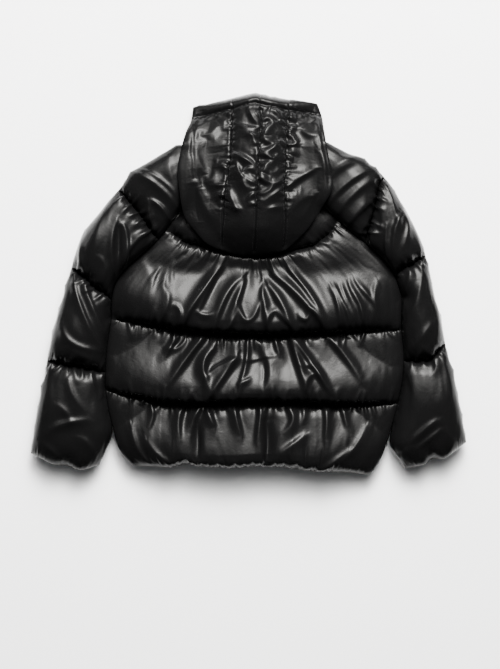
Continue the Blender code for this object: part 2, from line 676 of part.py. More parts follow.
def hood_centre(side, pattern, levels, material, collection):
    """A middle panel of the hood: from the rim over the crown and back to the neck."""
    left, right = pattern.hood_seams[side:side + 2]
    across = np.linspace(0.0, 1.0, HOOD_COLUMNS - 1)
    rim = cut(pattern.hood_rim, left[0, 0], right[0, 0], axis=0)
    bottom = cut(pattern.hood_bottom, left[-1, 0], right[-1, 0], axis=0)
    low, high = along(rim, across), along(bottom, across)
    length = left[0, 1] - left[-1, 1]

    def crown_grid(down):
        return patch(low, high, rows_down(left, down), rows_down(right, down), across, down)

    down = station_fractions()
    points = crown_grid(down)
    drawn = inset(points)
    drawn[-1, :, 1] = points[-1, :, 1]
    core = inset(crown_grid(down * (1.0 - HOOD_CORE / length)))
    top_outer = raised(drawn, levels.crown(drawn))
    top_inner = raised(core, levels.hollow(core))
    top_inner[-1, :, 2] = levels.under(core[-1])[1] + HOOD_SLIT / 2

    nape_end = (left[0, 1] - NECK_NAPE) / length
    back = 1.0 - crowded(NAPE_ROWS, 0.6)[1:] * (1.0 - nape_end)
    drawn = inset(crown_grid(back))
    core = inset(crown_grid(nape_end + (back - nape_end) * (1.0 - HOOD_CORE / length)))
    low_outer = raised(drawn, levels.bottom(drawn))
    low_inner = raised(core, levels.under(core)[1])

    name = ("hood_centre_left", "hood_centre_right")[side]
    return wall(name, np.concatenate([top_outer, low_outer]),
                np.concatenate([top_inner, low_inner]), material, collection)


def zip_chain(material, collection):
    """The closed zip: a flat strip up the centre front, in the step of the fronts."""
    length = ZIP_TOP - ZIP_BOTTOM
    mesh = bmesh.new()
    bmesh.ops.create_cube(mesh, size=1.0)
    bmesh.ops.scale(mesh, vec=(2 * ZIP_HALF_WIDTH, length, ZIP_THICKNESS), verts=mesh.verts)
    middle = Vector((CENTRE_X, ZIP_BOTTOM + length / 2, ZIP_THICKNESS / 2))
    bmesh.ops.translate(mesh, vec=middle, verts=mesh.verts)
    return add_object("zip", mesh, material, collection)


def zip_slider(material, collection):
    """The slider at the top of the zip, with its pull laid flat up the fronts."""
    curve = bpy.data.curves.new("zip_slider", "CURVE")
    curve.dimensions = "2D"
    curve.fill_mode = "BOTH"
    curve.extrude = SLIDER_THICKNESS / 2
    spline = curve.splines.new("POLY")
    spline.points.add(len(SLIDER_OUTLINE) - 1)
    for point, (x, y) in zip(spline.points, SLIDER_OUTLINE):
        point.co = (x * MM, y * MM, 0.0, 1.0)
    spline.use_cyclic_u = True
    curve.materials.append(material)
    item = bpy.data.objects.new("zip_slider", curve)
    item.location = (CENTRE_X, ZIP_TOP + SEAM_GAP, SLIDER_THICKNESS / 2)
    collection.objects.link(item)
    weld = item.modifiers.new("weld", "WELD")
    weld.merge_threshold = 0.00005
    return item


def main():
    """Clears the scene and builds the jacket."""
    for item in list(bpy.data.objects):
        bpy.data.objects.remove(item, do_unlink=True)
    collection = bpy.data.collections.new(COLLECTION)
    bpy.context.scene.collection.children.link(collection)
    pattern = Pattern()
    colour = PIECE_COLOURS

    def cloth(name):
        return shell_material(name, colour["shell"], 0.28)

    back = back_panel(pattern, cloth("back_shell"), collection)
    sleeves = []
    for side, word in enumerate(("left", "right")):
        front_panel(side, pattern, cloth(f"front_{word}_shell"), collection)
        sleeves.append(sleeve(side, pattern, cloth(f"sleeve_{word}_shell"), collection))
    levels = HoodLevels(pattern, [back] + sleeves)
    for side, word in enumerate(("left", "right")):
        hood_side(side, pattern, levels, cloth(f"hood_side_{word}_shell"), collection)
        hood_centre(side, pattern, levels, cloth(f"hood_centre_{word}_shell"), collection)
    zip_chain(shell_material("zip_tape", colour["zip"], 0.6), collection)
    zip_slider(shell_material("slider_metal", colour["slider"], 0.35, 0.8), collection)


main()
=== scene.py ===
"""The looks of a hooded puffer jacket that lies face down.

Each padded piece of the model is rebuilt on the same seam lines with a fine grid. Its
padding and its listed folds come first, and then a small cloth solver crumples the
shell where the stitching gathers it. Everything is in metres, in the model's own frame,
but for the tables that say otherwise. Where a value comes in pairs, left is first.
"""
import math

import bpy
import numpy as np
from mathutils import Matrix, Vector
from mathutils.bvhtree import BVHTree


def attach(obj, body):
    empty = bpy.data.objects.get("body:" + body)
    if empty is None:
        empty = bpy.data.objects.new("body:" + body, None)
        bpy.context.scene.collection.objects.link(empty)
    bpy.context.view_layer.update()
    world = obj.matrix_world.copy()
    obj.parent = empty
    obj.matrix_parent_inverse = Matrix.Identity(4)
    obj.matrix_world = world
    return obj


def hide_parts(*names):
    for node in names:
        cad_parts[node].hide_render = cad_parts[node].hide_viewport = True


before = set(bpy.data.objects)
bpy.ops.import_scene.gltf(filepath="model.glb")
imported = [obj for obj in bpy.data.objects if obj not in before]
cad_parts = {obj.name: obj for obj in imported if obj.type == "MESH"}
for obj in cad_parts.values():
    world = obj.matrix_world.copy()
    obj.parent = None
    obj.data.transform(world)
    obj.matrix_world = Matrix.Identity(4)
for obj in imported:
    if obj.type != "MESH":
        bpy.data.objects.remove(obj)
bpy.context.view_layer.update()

MM = 0.001
TINY = 1e-9                 # keeps what is divided by above nothing
SAME_POINT = 1e-6           # a path's points nearer than this, in its steps, are one
SEED = 7
SIDES = ("left", "right")

# Levels and walls, as in the solids.
LINING_LEVEL = 0.028        # where the back meets the fronts
SLIT = 0.0006               # between two layers that lie on each other
SEAM_GAP = 0.0004           # from each side's edge to the seam line
STITCHED_WALL = 0.0045      # thickness at a line of stitching
EDGE_WALL = 0.0030          # thickness at an edge or a seam
EDGE_ROUND = 0.044          # how far in from an edge the padding reaches its height
SEAM_ROUND = 0.030          # the same at a sleeve's raglan seam
UNDER_ROUND = 0.024         # the same for the undersides
FOLD_CORE = 0.012           # padding between a sleeve's slit and its folded outer edge
CENTRE_X = 0.010            # middle of the garment, where the zip is
ZIP_ROOM = 0.0046           # level of the fronts over the zip
ZIP_STEP = 0.0124           # half width of that strip
ZIP_TOP = 0.244
ZIP_BOTTOM = -0.356
FRONT_NECK = (0.2815, 0.2855)   # top of each front beside that strip
FRONT_HEM_RISE = 0.005      # the fronts' hem lies this much above the back's
# Height of the padding in each channel: the back's from the hem up, the sleeves' from the
# neck down.
BODY_PADDING = [0.036, 0.040, 0.040, 0.016]
SLEEVE_PADDING = [0.024, 0.036, 0.036, 0.032]

# Seam lines and edges seen from above: (x, y) in millimetres, from left to right or
# from neck to hem.
NECK_BACK = [(-74, 274.5), (10, 268.5), (96, 274.5)]
LINE_A = [(-166.5, 106), (-140.5, 93), (-122.5, 81), (-84.5, 74), (16, 56),
          (111.5, 72), (139.5, 86), (163, 104), (175.5, 126)]
LINE_B = [(-272.5, -70), (-196.5, -82), (-96.5, -96), (23.5, -102), (163.5, -98),
          (305.5, -92)]
LINE_C = [(-284.5, -210), (-250.5, -220), (-210.5, -227), (-174.5, -234),
          (-112.5, -238), (-46.5, -236), (23.5, -234), (143.5, -238), (221.5, -240),
          (297.5, -238)]
HEM = [(-228.5, -362), (-190.5, -364), (-154.5, -366), (-122.5, -359), (-92.5, -364),
       (-30.5, -367), (23.5, -364), (69.5, -366), (131.5, -374), (199.5, -376),
       (235.5, -379), (249.5, -372)]

RAGLAN_LEFT = [(-74, 274.5), (-83, 252), (-97, 224), (-115, 182), (-139, 140),
               (-163, 108), (-181, 85), (-214, 55), (-242, 30), (-264, 0), (-272, -32),
               (-272.5, -68)]
RAGLAN_RIGHT = [(96, 274.5), (104, 252), (115, 224), (129, 188), (147, 156), (176, 128),
                (203, 105), (231, 82), (258, 57), (279, 34), (294, 9), (306, -28)]
SIDE_LEFT = [(-272.5, -68), (-280.5, -120), (-284.5, -170), (-284.5, -210),
             (-277.5, -252), (-268, -292), (-260.5, -321), (-247.5, -342), (-228.5, -362)]
SIDE_RIGHT = [(306, -28), (305.5, -60), (305.5, -92), (310, -142), (307, -192),
              (297.5, -238), (287.5, -276), (276.5, -314), (265.5, -344), (249.5, -372)]
UNDERARM_LEFT = [(-272, -68), (-279.5, -120), (-283.5, -170), (-283.5, -210),
                 (-276.5, -252), (-270, -294), (-284, -336), (-296, -360)]
UNDERARM_RIGHT = [(305.5, -28), (305, -60), (305, -92), (309, -142), (306, -192),
                  (296.5, -238), (287, -276), (281, -317), (293, -340), (312, -367)]

# Sleeve: outer folded edge from neck to cuff, and the three stitched lines across it.
OUTER_LEFT = [(-100, 276.5), (-131, 275), (-148, 271), (-190, 247), (-230, 221),
              (-257.5, 187), (-290, 148), (-327, 98), (-351.5, 32), (-372, -38),
              (-388, -96), (-400, -153), (-412, -212), (-422, -268), (-432.5, -337)]
OUTER_RIGHT = [(120, 281), (155, 279.5), (196, 261), (234, 244), (269.5, 213),
               (301, 166), (333, 106), (352.5, 56), (369, -18), (382, -68),
               (391.5, -118), (408, -182), (423, -256), (433.5, -315)]
ACROSS_LEFT = [
    [(-74, 274.5), (-87, 276), (-100, 276.5)],
    [(-178.5, 88), (-190.5, 102), (-218.5, 142), (-257.5, 187)],
    [(-272, -32), (-280.5, -24), (-302.5, -8), (-326.5, 14), (-351.5, 32)],
    [(-288, -176), (-328.5, -166), (-364.5, -160), (-400, -153)],
    [(-296, -360), (-333, -371), (-362, -361), (-390, -359), (-432.5, -337)],
]
ACROSS_RIGHT = [
    [(96, 274.5), (108, 278), (120, 281)],
    [(231, 82), (247.5, 138), (259.5, 194), (269.5, 213)],
    [(294, 9), (300, 26), (323.5, 38), (352.5, 56)],
    [(313.5, -153), (337.5, -152), (363.5, -148), (391.5, -118)],
    [(312, -367), (348, -361), (366, -347), (392, -347), (433.5, -315)],
]


# Hood: edges and seams from rim to bottom, and the rim and bottom lines from left to right.
HOOD_LEFT = [(-110, 353), (-114, 324), (-124, 300), (-133, 265), (-139, 228), (-135, 178),
             (-126, 132), (-104, 101), (-83, 79), (-59, 67)]
HOOD_RIGHT = [(138, 359), (147, 332), (150, 308), (156, 268), (164, 220), (165, 186),
              (147, 152), (120, 110), (96, 85), (75, 67)]
SEAM_LEFT = [(-35, 370), (-30, 344), (-33, 312), (-34, 272), (-38, 232), (-43, 192),
             (-48, 158), (-50, 124), (-52, 92), (-53, 66)]
SEAM_MIDDLE = [(25, 379), (25, 350), (25, 312), (22, 272), (21, 232), (19, 188),
               (17, 152), (15, 116), (13, 80), (11, 56)]
SEAM_RIGHT = [(82, 368), (81, 344), (77, 312), (76, 272), (75, 232), (72, 188), (73, 154),
              (74, 118), (73, 90), (70, 65)]
HOOD_RIM = [(-110, 353), (-74, 361), (-35, 370), (8, 380), (25, 379), (44, 375), (82, 368),
            (135, 361), (138, 359)]
HOOD_SIDE_LINE = [(-108, 326), (-110, 268), (-106, 208)]
HOOD_BOTTOM = [(-59, 67), (-53, 66), (-23, 58), (11, 56), (28, 57), (70, 65), (75, 67)]
HOOD_SIDE_LINE_RIGHT = [(137, 330), (147, 290), (155, 240), (160, 196), (158, 150)]
HOOD_SLIT = 0.0020
HOOD_ROUND = 0.052          # how far in from the hood's edge the crown reaches its height
HOOD_UNDER_ROUND = 0.016    # the same for the hood's underside
HOOD_CORE = 0.010           # padding between the hood's hollow and its folded edge
RIM_ROUND = 0.004
NAPE_WALL = 0.004
HOOD_WALL = 0.003
# The chin's thickness and the crown's level, as pairs of y and a height in millimetres.
CHIN_WALLS = [(270, 26), (300, 24), (330, 14), (353, 9)]
CROWN_LEVELS = [(56, 66), (80, 80), (105, 90), (140, 95), (180, 94), (220, 88), (260, 79),
                (300, 68), (340, 54), (362, 48), (380, 42)]
STEP_START = 0.360          # where the hood's hollow starts to climb from chin to nape
STEP_END = 0.262
SHOULDER_START = 0.309      # the same for the edge that steps over a sleeve's end
SHOULDER_END = 0.276
NECK_NAPE = 0.2705          # top of the nape
NECK_STEP = 0.2755          # below this the hood's lower layer lies on the body
NECK_TURN = 0.0065          # how far above and below the neck the lower layer narrows to it
NAPE_TOP = 0.262            # the body's own level is read no further up than this
NECK_HALF = 0.085           # half width of the neck opening, and how far it fades out
NECK_FADE = 0.030
HOOD_CLEAR = 0.004          # the crown clears the highest lower layer within this
CROWN_LEAST = 0.0015        # least height of the crown's padding over its wall
REACH = 0.015               # the hood rests on the highest point within this distance
SEAM_DIP = 0.0026           # how deep the crown dips at its seams
SEAM_DIP_WIDTH = 0.0032
CASING_DEPTH = 0.024        # turned hem round the face opening
CASING_LINE = 0.005         # width of the dip along the casing's stitching


# Folds of the shell, in millimetres: a crest from (x0, y0) over (x1, y1) to (x2, y2),
# how far its flanks reach, and its height; a trough has a height below zero.
FOLD_COLUMNS = ("x0", "y0", "x1", "y1", "x2", "y2", "width", "height")
BACK_FOLDS = [
    (-54, 36, -90, -16, -138, -94, 7, 8), (-68, 10, -78, -12, -98, -56, 5, 5),
    (-14, 12, -44, -26, -70, -96, 7, 8), (-8, 6, -24, -40, -44, -96, 6, 7),
    (28, -10, 32, -48, 40, -96, 5, 6), (40, -2, 66, -44, 88, -96, 6, 7),
    (50, 20, 104, -32, 154, -94, 7, 8), (80, 28, 120, -24, 156, -84, 5, 5),
    (162, -10, 174, -40, 180, -84, 5, 4), (184, -38, 194, -60, 202, -88, 4, 4),
    (208, -20, 220, -48, 230, -84, 4, 3), (-170, -4, -156, -38, -182, -84, 7, 3),
    (-212, 44, -192, 8, -196, -32, 8, 2), (254, 4, 248, -28, 258, -68, 5, 3),
    (-82, -98, -112, -136, -158, -200, 7, 8), (-140, -106, -152, -124, -164, -144, 5, 5),
    (-70, -128, -88, -160, -80, -194, 7, 8), (-84, -188, -52, -160, -2, -146, 6, 6),
    (-24, -144, -48, -180, -86, -232, 7, 8), (84, -104, 96, -148, 114, -212, 7, 9),
    (90, -108, 122, -156, 162, -216, 6, 7), (150, -98, 184, -136, 222, -192, 7, 7),
    (110, -208, 128, -180, 152, -204, 5, 5), (28, -132, 44, -176, 28, -216, 9, 3),
    (-126, -232, -136, -268, -134, -308, 6, 6), (-88, -238, -104, -264, -110, -296, 6, 7),
    (-88, -238, -74, -264, -66, -284, 6, 7), (-100, -280, -98, -308, -98, -342, 8, -8),
    (-28, -238, -24, -266, -14, -300, 6, 7), (26, -236, 22, -272, 16, -312, 6, 7),
    (36, -274, 38, -316, 34, -360, 8, -10), (70, -236, 88, -268, 66, -298, 7, 7),
    (152, -246, 154, -276, 150, -308, 6, 7), (110, -300, 86, -318, 60, -336, 6, 5),
    (196, -330, 164, -354, 126, -378, 6, 5), (-196, -312, -176, -336, -140, -358, 6, 4),
    (-230, -282, -218, -322, -196, -352, 6, 4), (232, -284, 210, -322, 180, -354, 6, 4),
    (-196, -236, -188, -260, -196, -288, 5, 4), (104, -236, 110, -256, 104, -280, 5, 4),
    (194, -240, 190, -264, 198, -288, 5, 4), (170, -8, 178, -24, 186, -44, 4, 3),
    (183, -4, 190, -26, 202, -48, 4, 3), (197, 4, 204, -18, 216, -40, 4, 3),
    (210, 8, 222, -12, 236, -30, 4, 3), (226, -12, 238, -28, 250, -46, 4, 3),
    (200, -50, 206, -64, 210, -82, 4, 3), (218, -48, 222, -64, 222, -82, 4, 3),
    (240, -50, 244, -64, 242, -80, 4, 2), (-176, 30, -184, 10, -188, -8, 4, 2),
    (-160, 24, -164, 4, -164, -14, 4, 2), (-148, 40, -150, 18, -148, 0, 5, 2),
    (-98, -54, -82, -60, -66, -56, 4, 4), (-140, -42, -130, -60, -137, -84, 4, 4),
    (-45, -86, -31, -74, -18, -44, 4, 5), (-18, -44, -9, -66, -1, -70, 4, 5),
    (-2, -70, 14, -58, 28, -14, 4, 4), (34, -78, 45, -58, 55, -52, 4, 5),
    (55, -52, 68, -68, 84, -84, 4, 5), (98, -64, 112, -70, 118, -50, 4, 4),
    (118, -50, 134, -62, 149, -86, 4, 5), (-160, -126, -142, -128, -122, -108, 4, 4),
    (-18, -198, -6, -160, -2, -118, 4, 4), (-20, -198, -6, -192, 6, -184, 4, 4),
    (106, -164, 130, -170, 148, -202, 4, 4), (-4, -154, 20, -148, 52, -143, 4, 3),
    (54, -106, 56, -124, 62, -142, 4, 3), (30, -160, 31, -178, 28, -196, 3, -2),
]
LEFT_FOLDS = [
    (-234, 224, -172, 188, -132, 132, 6, 6), (-218, 228, -166, 200, -134, 156, 5, 4),
    (-192, 166, -170, 150, -154, 120, 4, 5), (-196, 158, -192, 128, -180, 100, 5, 6),
    (-156, 248, -152, 208, -136, 168, 7, 3), (-258, 122, -268, 72, -262, 12, 4, 5),
    (-246, 116, -238, 78, -250, 24, 4, 5), (-254, 108, -254, 68, -256, 20, 5, -7),
    (-280, 160, -294, 108, -308, 54, 9, 4), (-260, 176, -272, 144, -280, 104, 8, 2),
    (-330, 92, -330, 60, -320, 12, 5, 5), (-194, 100, -230, 74, -250, 24, 5, 5),
    (-292, 52, -282, 32, -288, 0, 5, 3), (-346, 20, -328, -52, -288, -136, 5, 7),
    (-326, 4, -306, -54, -278, -116, 5, 6), (-304, -4, -288, -24, -270, -42, 4, 5),
    (-366, -82, -346, -116, -298, -132, 6, 6), (-372, -32, -376, -68, -368, -92, 8, 2),
    (-352, -128, -328, -142, -302, -154, 7, 3), (-356, -184, -348, -216, -324, -252, 6, 4),
    (-318, -166, -310, -188, -302, -220, 4, 4), (-294, -174, -286, -202, -292, -226, 4, 4),
    (-388, -288, -358, -274, -316, -270, 6, 5), (-374, -240, -356, -258, -348, -280, 5, 3),
    (-396, -192, -392, -222, -402, -262, 8, 2), (-332, -304, -312, -320, -304, -344, 6, 3),
    (-406, -316, -384, -332, -372, -352, 6, 3),
]
RIGHT_FOLDS = [
    (154, 152, 194, 196, 244, 228, 6, 6), (174, 132, 208, 176, 260, 214, 6, 5),
    (192, 110, 220, 144, 262, 180, 6, 6), (170, 228, 204, 248, 252, 254, 7, 4),
    (218, 94, 236, 124, 262, 156, 5, 4), (160, 208, 190, 232, 220, 240, 6, 3),
    (246, 104, 246, 68, 266, 36, 6, 6), (274, 116, 272, 68, 286, 28, 4, 4),
    (258, 156, 264, 124, 260, 96, 6, 3), (312, 148, 290, 112, 286, 52, 5, 6),
    (304, 140, 314, 112, 302, 64, 5, 5), (272, 200, 284, 160, 296, 112, 5, 4),
    (328, 104, 336, 84, 340, 56, 5, 3), (342, 36, 336, -22, 308, -88, 7, 6),
    (322, 32, 314, -12, 300, -48, 5, 4), (364, -76, 344, -102, 324, -130, 7, 4),
    (368, -28, 374, -72, 366, -126, 7, 4), (312, -88, 308, -116, 302, -144, 5, 3),
    (352, 16, 360, -16, 358, -44, 6, 2), (312, -168, 326, -208, 320, -248, 6, 4),
    (370, -270, 346, -288, 320, -314, 5, 5), (378, -288, 358, -304, 332, -326, 4, 4),
    (352, -134, 370, -156, 364, -184, 5, 4), (384, -144, 396, -192, 396, -232, 8, 3),
    (300, -176, 304, -216, 296, -256, 7, 3), (320, -324, 308, -336, 300, -356, 6, 3),
    (392, -292, 400, -312, 396, -336, 6, 3),
]
HOOD_FOLDS = [
    (28, 318, 38, 326, 50, 316, 5, 5), (50, 316, 36, 304, 32, 290, 6, 6),
    (32, 290, 36, 280, 52, 276, 6, 5), (57, 277, 44, 264, 27, 257, 6, 8),
    (27, 254, 40, 248, 44, 242, 5, 6), (44, 242, 34, 230, 27, 218, 7, 7),
    (27, 218, 28, 204, 46, 196, 6, 7), (47, 196, 42, 184, 26, 174, 5, 5),
    (68, 207, 58, 198, 48, 194, 6, 4), (66, 186, 52, 176, 28, 158, 6, 5),
    (66, 150, 52, 150, 36, 144, 5, 4), (44, 344, 56, 336, 66, 320, 5, 5),
    (58, 268, 56, 250, 46, 236, 8, 4), (60, 222, 48, 216, 40, 214, 8, 3),
    (2, 346, 8, 330, 21, 312, 6, 7), (12, 344, 16, 334, 22, 326, 4, 4),
    (-18, 314, 0, 306, 21, 306, 5, 4), (-6, 298, 12, 282, 17, 258, 6, 6),
    (2, 292, 10, 292, 20, 284, 6, 5), (17, 262, 16, 246, 18, 236, 4, 4),
    (-28, 256, -8, 246, 15, 229, 5, 8), (-24, 246, -17, 222, -8, 206, 5, 5),
    (-14, 214, -6, 192, 4, 186, 5, 6), (-8, 212, -2, 224, 15, 222, 5, 5),
    (-4, 206, 4, 200, 18, 195, 5, 5), (2, 214, 8, 208, 16, 206, 4, 3),
    (-36, 180, -28, 160, -18, 142, 7, 8), (-26, 150, -18, 146, -12, 142, 5, 4),
    (0, 162, 5, 172, 14, 178, 4, 4), (6, 154, 12, 156, 17, 152, 4, 3),
    (-52, 234, -44, 228, -36, 218, 4, 5), (-66, 194, -54, 193, -42, 194, 4, 5),
    (-60, 176, -52, 180, -42, 184, 5, 5), (-58, 170, -50, 174, -42, 170, 4, 4),
    (-104, 306, -92, 314, -80, 320, 8, 2), (-56, 312, -68, 302, -80, 284, 9, 3),
    (-104, 262, -92, 228, -74, 200, 9, 3), (-112, 244, -96, 196, -70, 150, 8, 3),
    (-110, 210, -94, 170, -66, 118, 9, 3), (-84, 196, -70, 206, -66, 226, 8, 3),
    (80, 336, 86, 326, 96, 322, 5, 4), (80, 312, 88, 308, 98, 306, 5, 4),
    (80, 296, 90, 284, 99, 275, 5, 5), (76, 273, 88, 274, 99, 275, 4, 5),
    (80, 270, 88, 262, 88, 252, 7, 4), (104, 308, 122, 294, 142, 296, 7, 4),
    (82, 194, 104, 210, 138, 229, 6, 5), (84, 142, 106, 166, 138, 178, 10, 3),
    (128, 322, 134, 314, 140, 306, 8, 3), (140, 262, 150, 240, 152, 214, 8, 3),
    (104, 130, 122, 158, 140, 196, 9, 2), (-16, 116, 16, 110, 56, 114, 12, 2),
    (-52, 92, -40, 112, -16, 124, 9, 2.5),
]


# ---------------------------------------------------------------- lines and grids


def smooth_path(points, steps=12):
    """A smooth run through points given in millimetres, as points in metres."""
    knots = np.array(points, dtype=float) * MM
    run = np.vstack([2 * knots[0] - knots[1], knots, 2 * knots[-1] - knots[-2]])
    t = np.linspace(0.0, 1.0, steps, endpoint=False)[:, None]
    spans = []
    for before, start, end, after in zip(run, run[1:], run[2:], run[3:]):
        linear = (end - before) * t
        square = (2 * before - 5 * start + 4 * end - after) * t ** 2
        cube = (3 * start - before - 3 * end + after) * t ** 3
        spans.append(start + 0.5 * (linear + square + cube))
    spans.append(knots[-1:])
    return np.vstack(spans)


def smooth_paths(*tables):
    """A smooth run for each of some tables of points."""
    return [smooth_path(table) for table in tables]


def lengths(vectors):
    """The length of each vector."""
    return np.sqrt((vectors ** 2).sum(axis=-1))


def read_off(path, places, wanted):
    """Points of a path at some places, given the place of each of its own points."""
    return np.stack([np.interp(wanted, places, column) for column in path.T], axis=-1)


def run_lengths(path):
    """How far along a path, seen from above, each of its points is."""
    return np.concatenate([[0.0], np.cumsum(np.hypot(*np.diff(path, axis=0).T))])


def along(path, fractions):
    """Points at these fractions of a path's length."""
    places = run_lengths(path)
    return read_off(path, places, np.asarray(fractions) * places[-1])


def cut(path, start, end, axis=1):
    """The stretch of a path between two values of x or y, which run one way along it."""
    values = path[:, axis]
    if values[0] > values[-1]:
        values = -values
        start, end = -start, -end
    places = np.arange(len(path))
    first, last = np.interp([start, end], values, places)
    low, high = sorted((first, last))
    inner = places[(places > low + SAME_POINT) & (places < high - SAME_POINT)]
    wanted = np.concatenate([[low], inner, [high]])
    return read_off(path, places, wanted if first <= last else wanted[::-1])


def at_height(path, y):
    """Points where a path that runs down the garment has these heights."""
    x = np.interp(-np.asarray(y), -path[:, 1], path[:, 0])
    return np.stack([x, np.broadcast_to(y, np.shape(x))], axis=-1)


def between(line, left, right):
    """A line with its ends moved onto the two edges that it runs between."""
    start = at_height(left, line[0, 1])
    end = at_height(right, line[-1, 1])
    t = np.linspace(0.0, 1.0, len(line))[:, None]
    return line + (1 - t) * (start - line[0]) + t * (end - line[-1])


def distance(points, *paths):
    """Distance from each grid point to the nearest of some paths, seen from above."""
    nearest = np.full(points.shape[:-1], np.inf)
    for path in paths:
        for start, end in zip(path[:-1], path[1:]):
            span = end - start
            x = points[..., 0] - start[0]
            y = points[..., 1] - start[1]
            t = np.clip((x * span[0] + y * span[1]) / (span @ span), 0.0, 1.0)
            gap = (x - t * span[0]) ** 2 + (y - t * span[1]) ** 2
            np.minimum(nearest, gap, out=nearest)
    return np.sqrt(nearest)


def crowded(count, pull):
    """Fractions from 0 to 1 that lie closer together near both ends."""
    t = np.linspace(0.0, 1.0, count + 1)
    return t - pull * np.sin(2 * math.pi * t) / (2 * math.pi)


def patch(low, high, left, right, u, v):
    """A grid of points between four rows of points that meet at the corners."""
    across = u[None, :, None]
    up = v[:, None, None]
    ruled = (1 - up) * low[None] + up * high[None]
    sides = (1 - across) * left[:, None] + across * right[:, None]
    corners = ((1 - up) * ((1 - across) * low[0] + across * low[-1])
               + up * ((1 - across) * high[0] + across * high[-1]))
    return ruled + sides - corners


def patch_between(low, high, left, right, u, v):
    """The same between four paths."""
    return patch(along(low, u), along(high, u), along(left, v), along(right, v), u, v)


def inset(points):
    """Draws a grid's outer rows and columns in by the seam gap."""
    moved = points.copy()
    for edge, inner in ((np.s_[:, 0], np.s_[:, 1]), (np.s_[:, -1], np.s_[:, -2]),
                        (np.s_[0], np.s_[1]), (np.s_[-1], np.s_[-2])):
        step = points[inner] - points[edge]
        size = np.hypot(*np.moveaxis(step, -1, 0))[..., None]
        moved[edge] += SEAM_GAP * step / np.maximum(size, TINY)
    return moved


def drawn_in(points, across, depth):
    """The grid with each row shortened at its far end by a depth."""
    width = np.hypot(*(points[:, -1] - points[:, 0]).T)
    kept = 1.0 - np.minimum(depth / width, 0.5)
    return np.array([read_off(row, across, across * keep) for row, keep in zip(points, kept)])


def raised(points, height):
    """Grid points seen from above, given their heights."""
    return np.concatenate([points, np.broadcast_to(height, points.shape[:-1])[..., None]], -1)


def around(grid):
    """The mean of the four neighbours of each point inside a grid."""
    return 0.25 * (grid[2:, 1:-1] + grid[:-2, 1:-1] + grid[1:-1, 2:] + grid[1:-1, :-2])


def normals(grid):
    """Unit normals of a grid of points."""
    normal = np.cross(np.gradient(grid, axis=1), np.gradient(grid, axis=0))
    normal = normal / np.maximum(lengths(normal)[..., None], TINY)
    return normal if normal[..., 2].mean() > 0 else -normal


# ---------------------------------------------------------------- profiles


def roll(depth, radius):
    """Rises from 0 at an edge to 1 at the radius, along a quarter of a circle."""
    t = np.clip(depth / radius, 0.0, 1.0)
    return np.sqrt(1.0 - (1.0 - t) ** 2)


def ease(value):
    """A soft step from 0 to 1."""
    t = np.clip(value, 0.0, 1.0)
    return t * t * (3.0 - 2.0 * t)


def ridge(away, width):
    """Falls off softly from 1 on a line to 0 away from it."""
    return np.exp(-(away / width) ** 2)


class Pattern:
    """The seam lines of the whole garment, as smooth runs of points in metres."""

    def __init__(self):
        self.raglan = smooth_paths(RAGLAN_LEFT, RAGLAN_RIGHT)
        self.side = smooth_paths(SIDE_LEFT, SIDE_RIGHT)
        self.underarm = smooth_paths(UNDERARM_LEFT, UNDERARM_RIGHT)
        self.outer = smooth_paths(OUTER_LEFT, OUTER_RIGHT)
        self.across = [smooth_paths(*ACROSS_LEFT), smooth_paths(*ACROSS_RIGHT)]
        self.body = [np.vstack([self.raglan[s], self.side[s][1:]]) for s in (0, 1)]
        self.sleeve = [np.vstack([self.raglan[s], self.underarm[s][1:]]) for s in (0, 1)]
        self.lines = smooth_paths(HEM, LINE_C, LINE_B, LINE_A, NECK_BACK)
        self.hood_edge = smooth_paths(HOOD_LEFT, HOOD_RIGHT)
        self.hood_seams = smooth_paths(SEAM_LEFT, SEAM_MIDDLE, SEAM_RIGHT)
        self.hood_side_lines = smooth_paths(HOOD_SIDE_LINE, HOOD_SIDE_LINE_RIGHT)
        self.hood_rim = smooth_path(HOOD_RIM)
        self.hood_bottom = smooth_path(HOOD_BOTTOM)
        self.hood_outline = np.vstack([self.hood_edge[0], self.hood_bottom[1:-1],
                                       self.hood_edge[1][::-1]])


# ---------------------------------------------------------------- folds

FOLD_STEPS = 10             # straight runs in a fold's curve
FOLD_LEAN = 0.9             # how much wider a fold's outer flank is than its inner one
FOLD_FALL = 1.7             # how its flanks fall: 1 keeps a keen crest, 2 a round one
FOLD_FAR = 6                # how many of its widths away a fold still counts
FOLD_TROUGH = 0.25          # depth of the hollow beside a fold, as a share of its height
FOLD_TROUGH_WIDTH = 2.2     # that hollow's width, in widths of the fold
FOLD_TAPER = (0.12, 0.84)   # a fold's run in the half wave that tapers it: start and length
FOLD_FULLNESS = 0.8         # below 1 a fold keeps its height nearer to its ends
GATHER_REACH = (0.5, 1.6)   # least and greatest length of a gather, as shares of the mean
GATHER_WIDTH = (0.0024, 0.0042)
GATHER_RISE = (0.35, 1.3)   # the same for its height
GATHER_STEP = (0.45, 1.55)  # the same for the way to the next one
GATHER_SLANT = 0.35         # spread of its turn from straight across the stitching
GATHER_START = 0.004        # a gather reaches its full height this far from the stitching
GATHER_FOOT = 0.2           # share of its height that it has on the stitching
EVEN = ((0.0, 1.0), (1.0, 1.0))


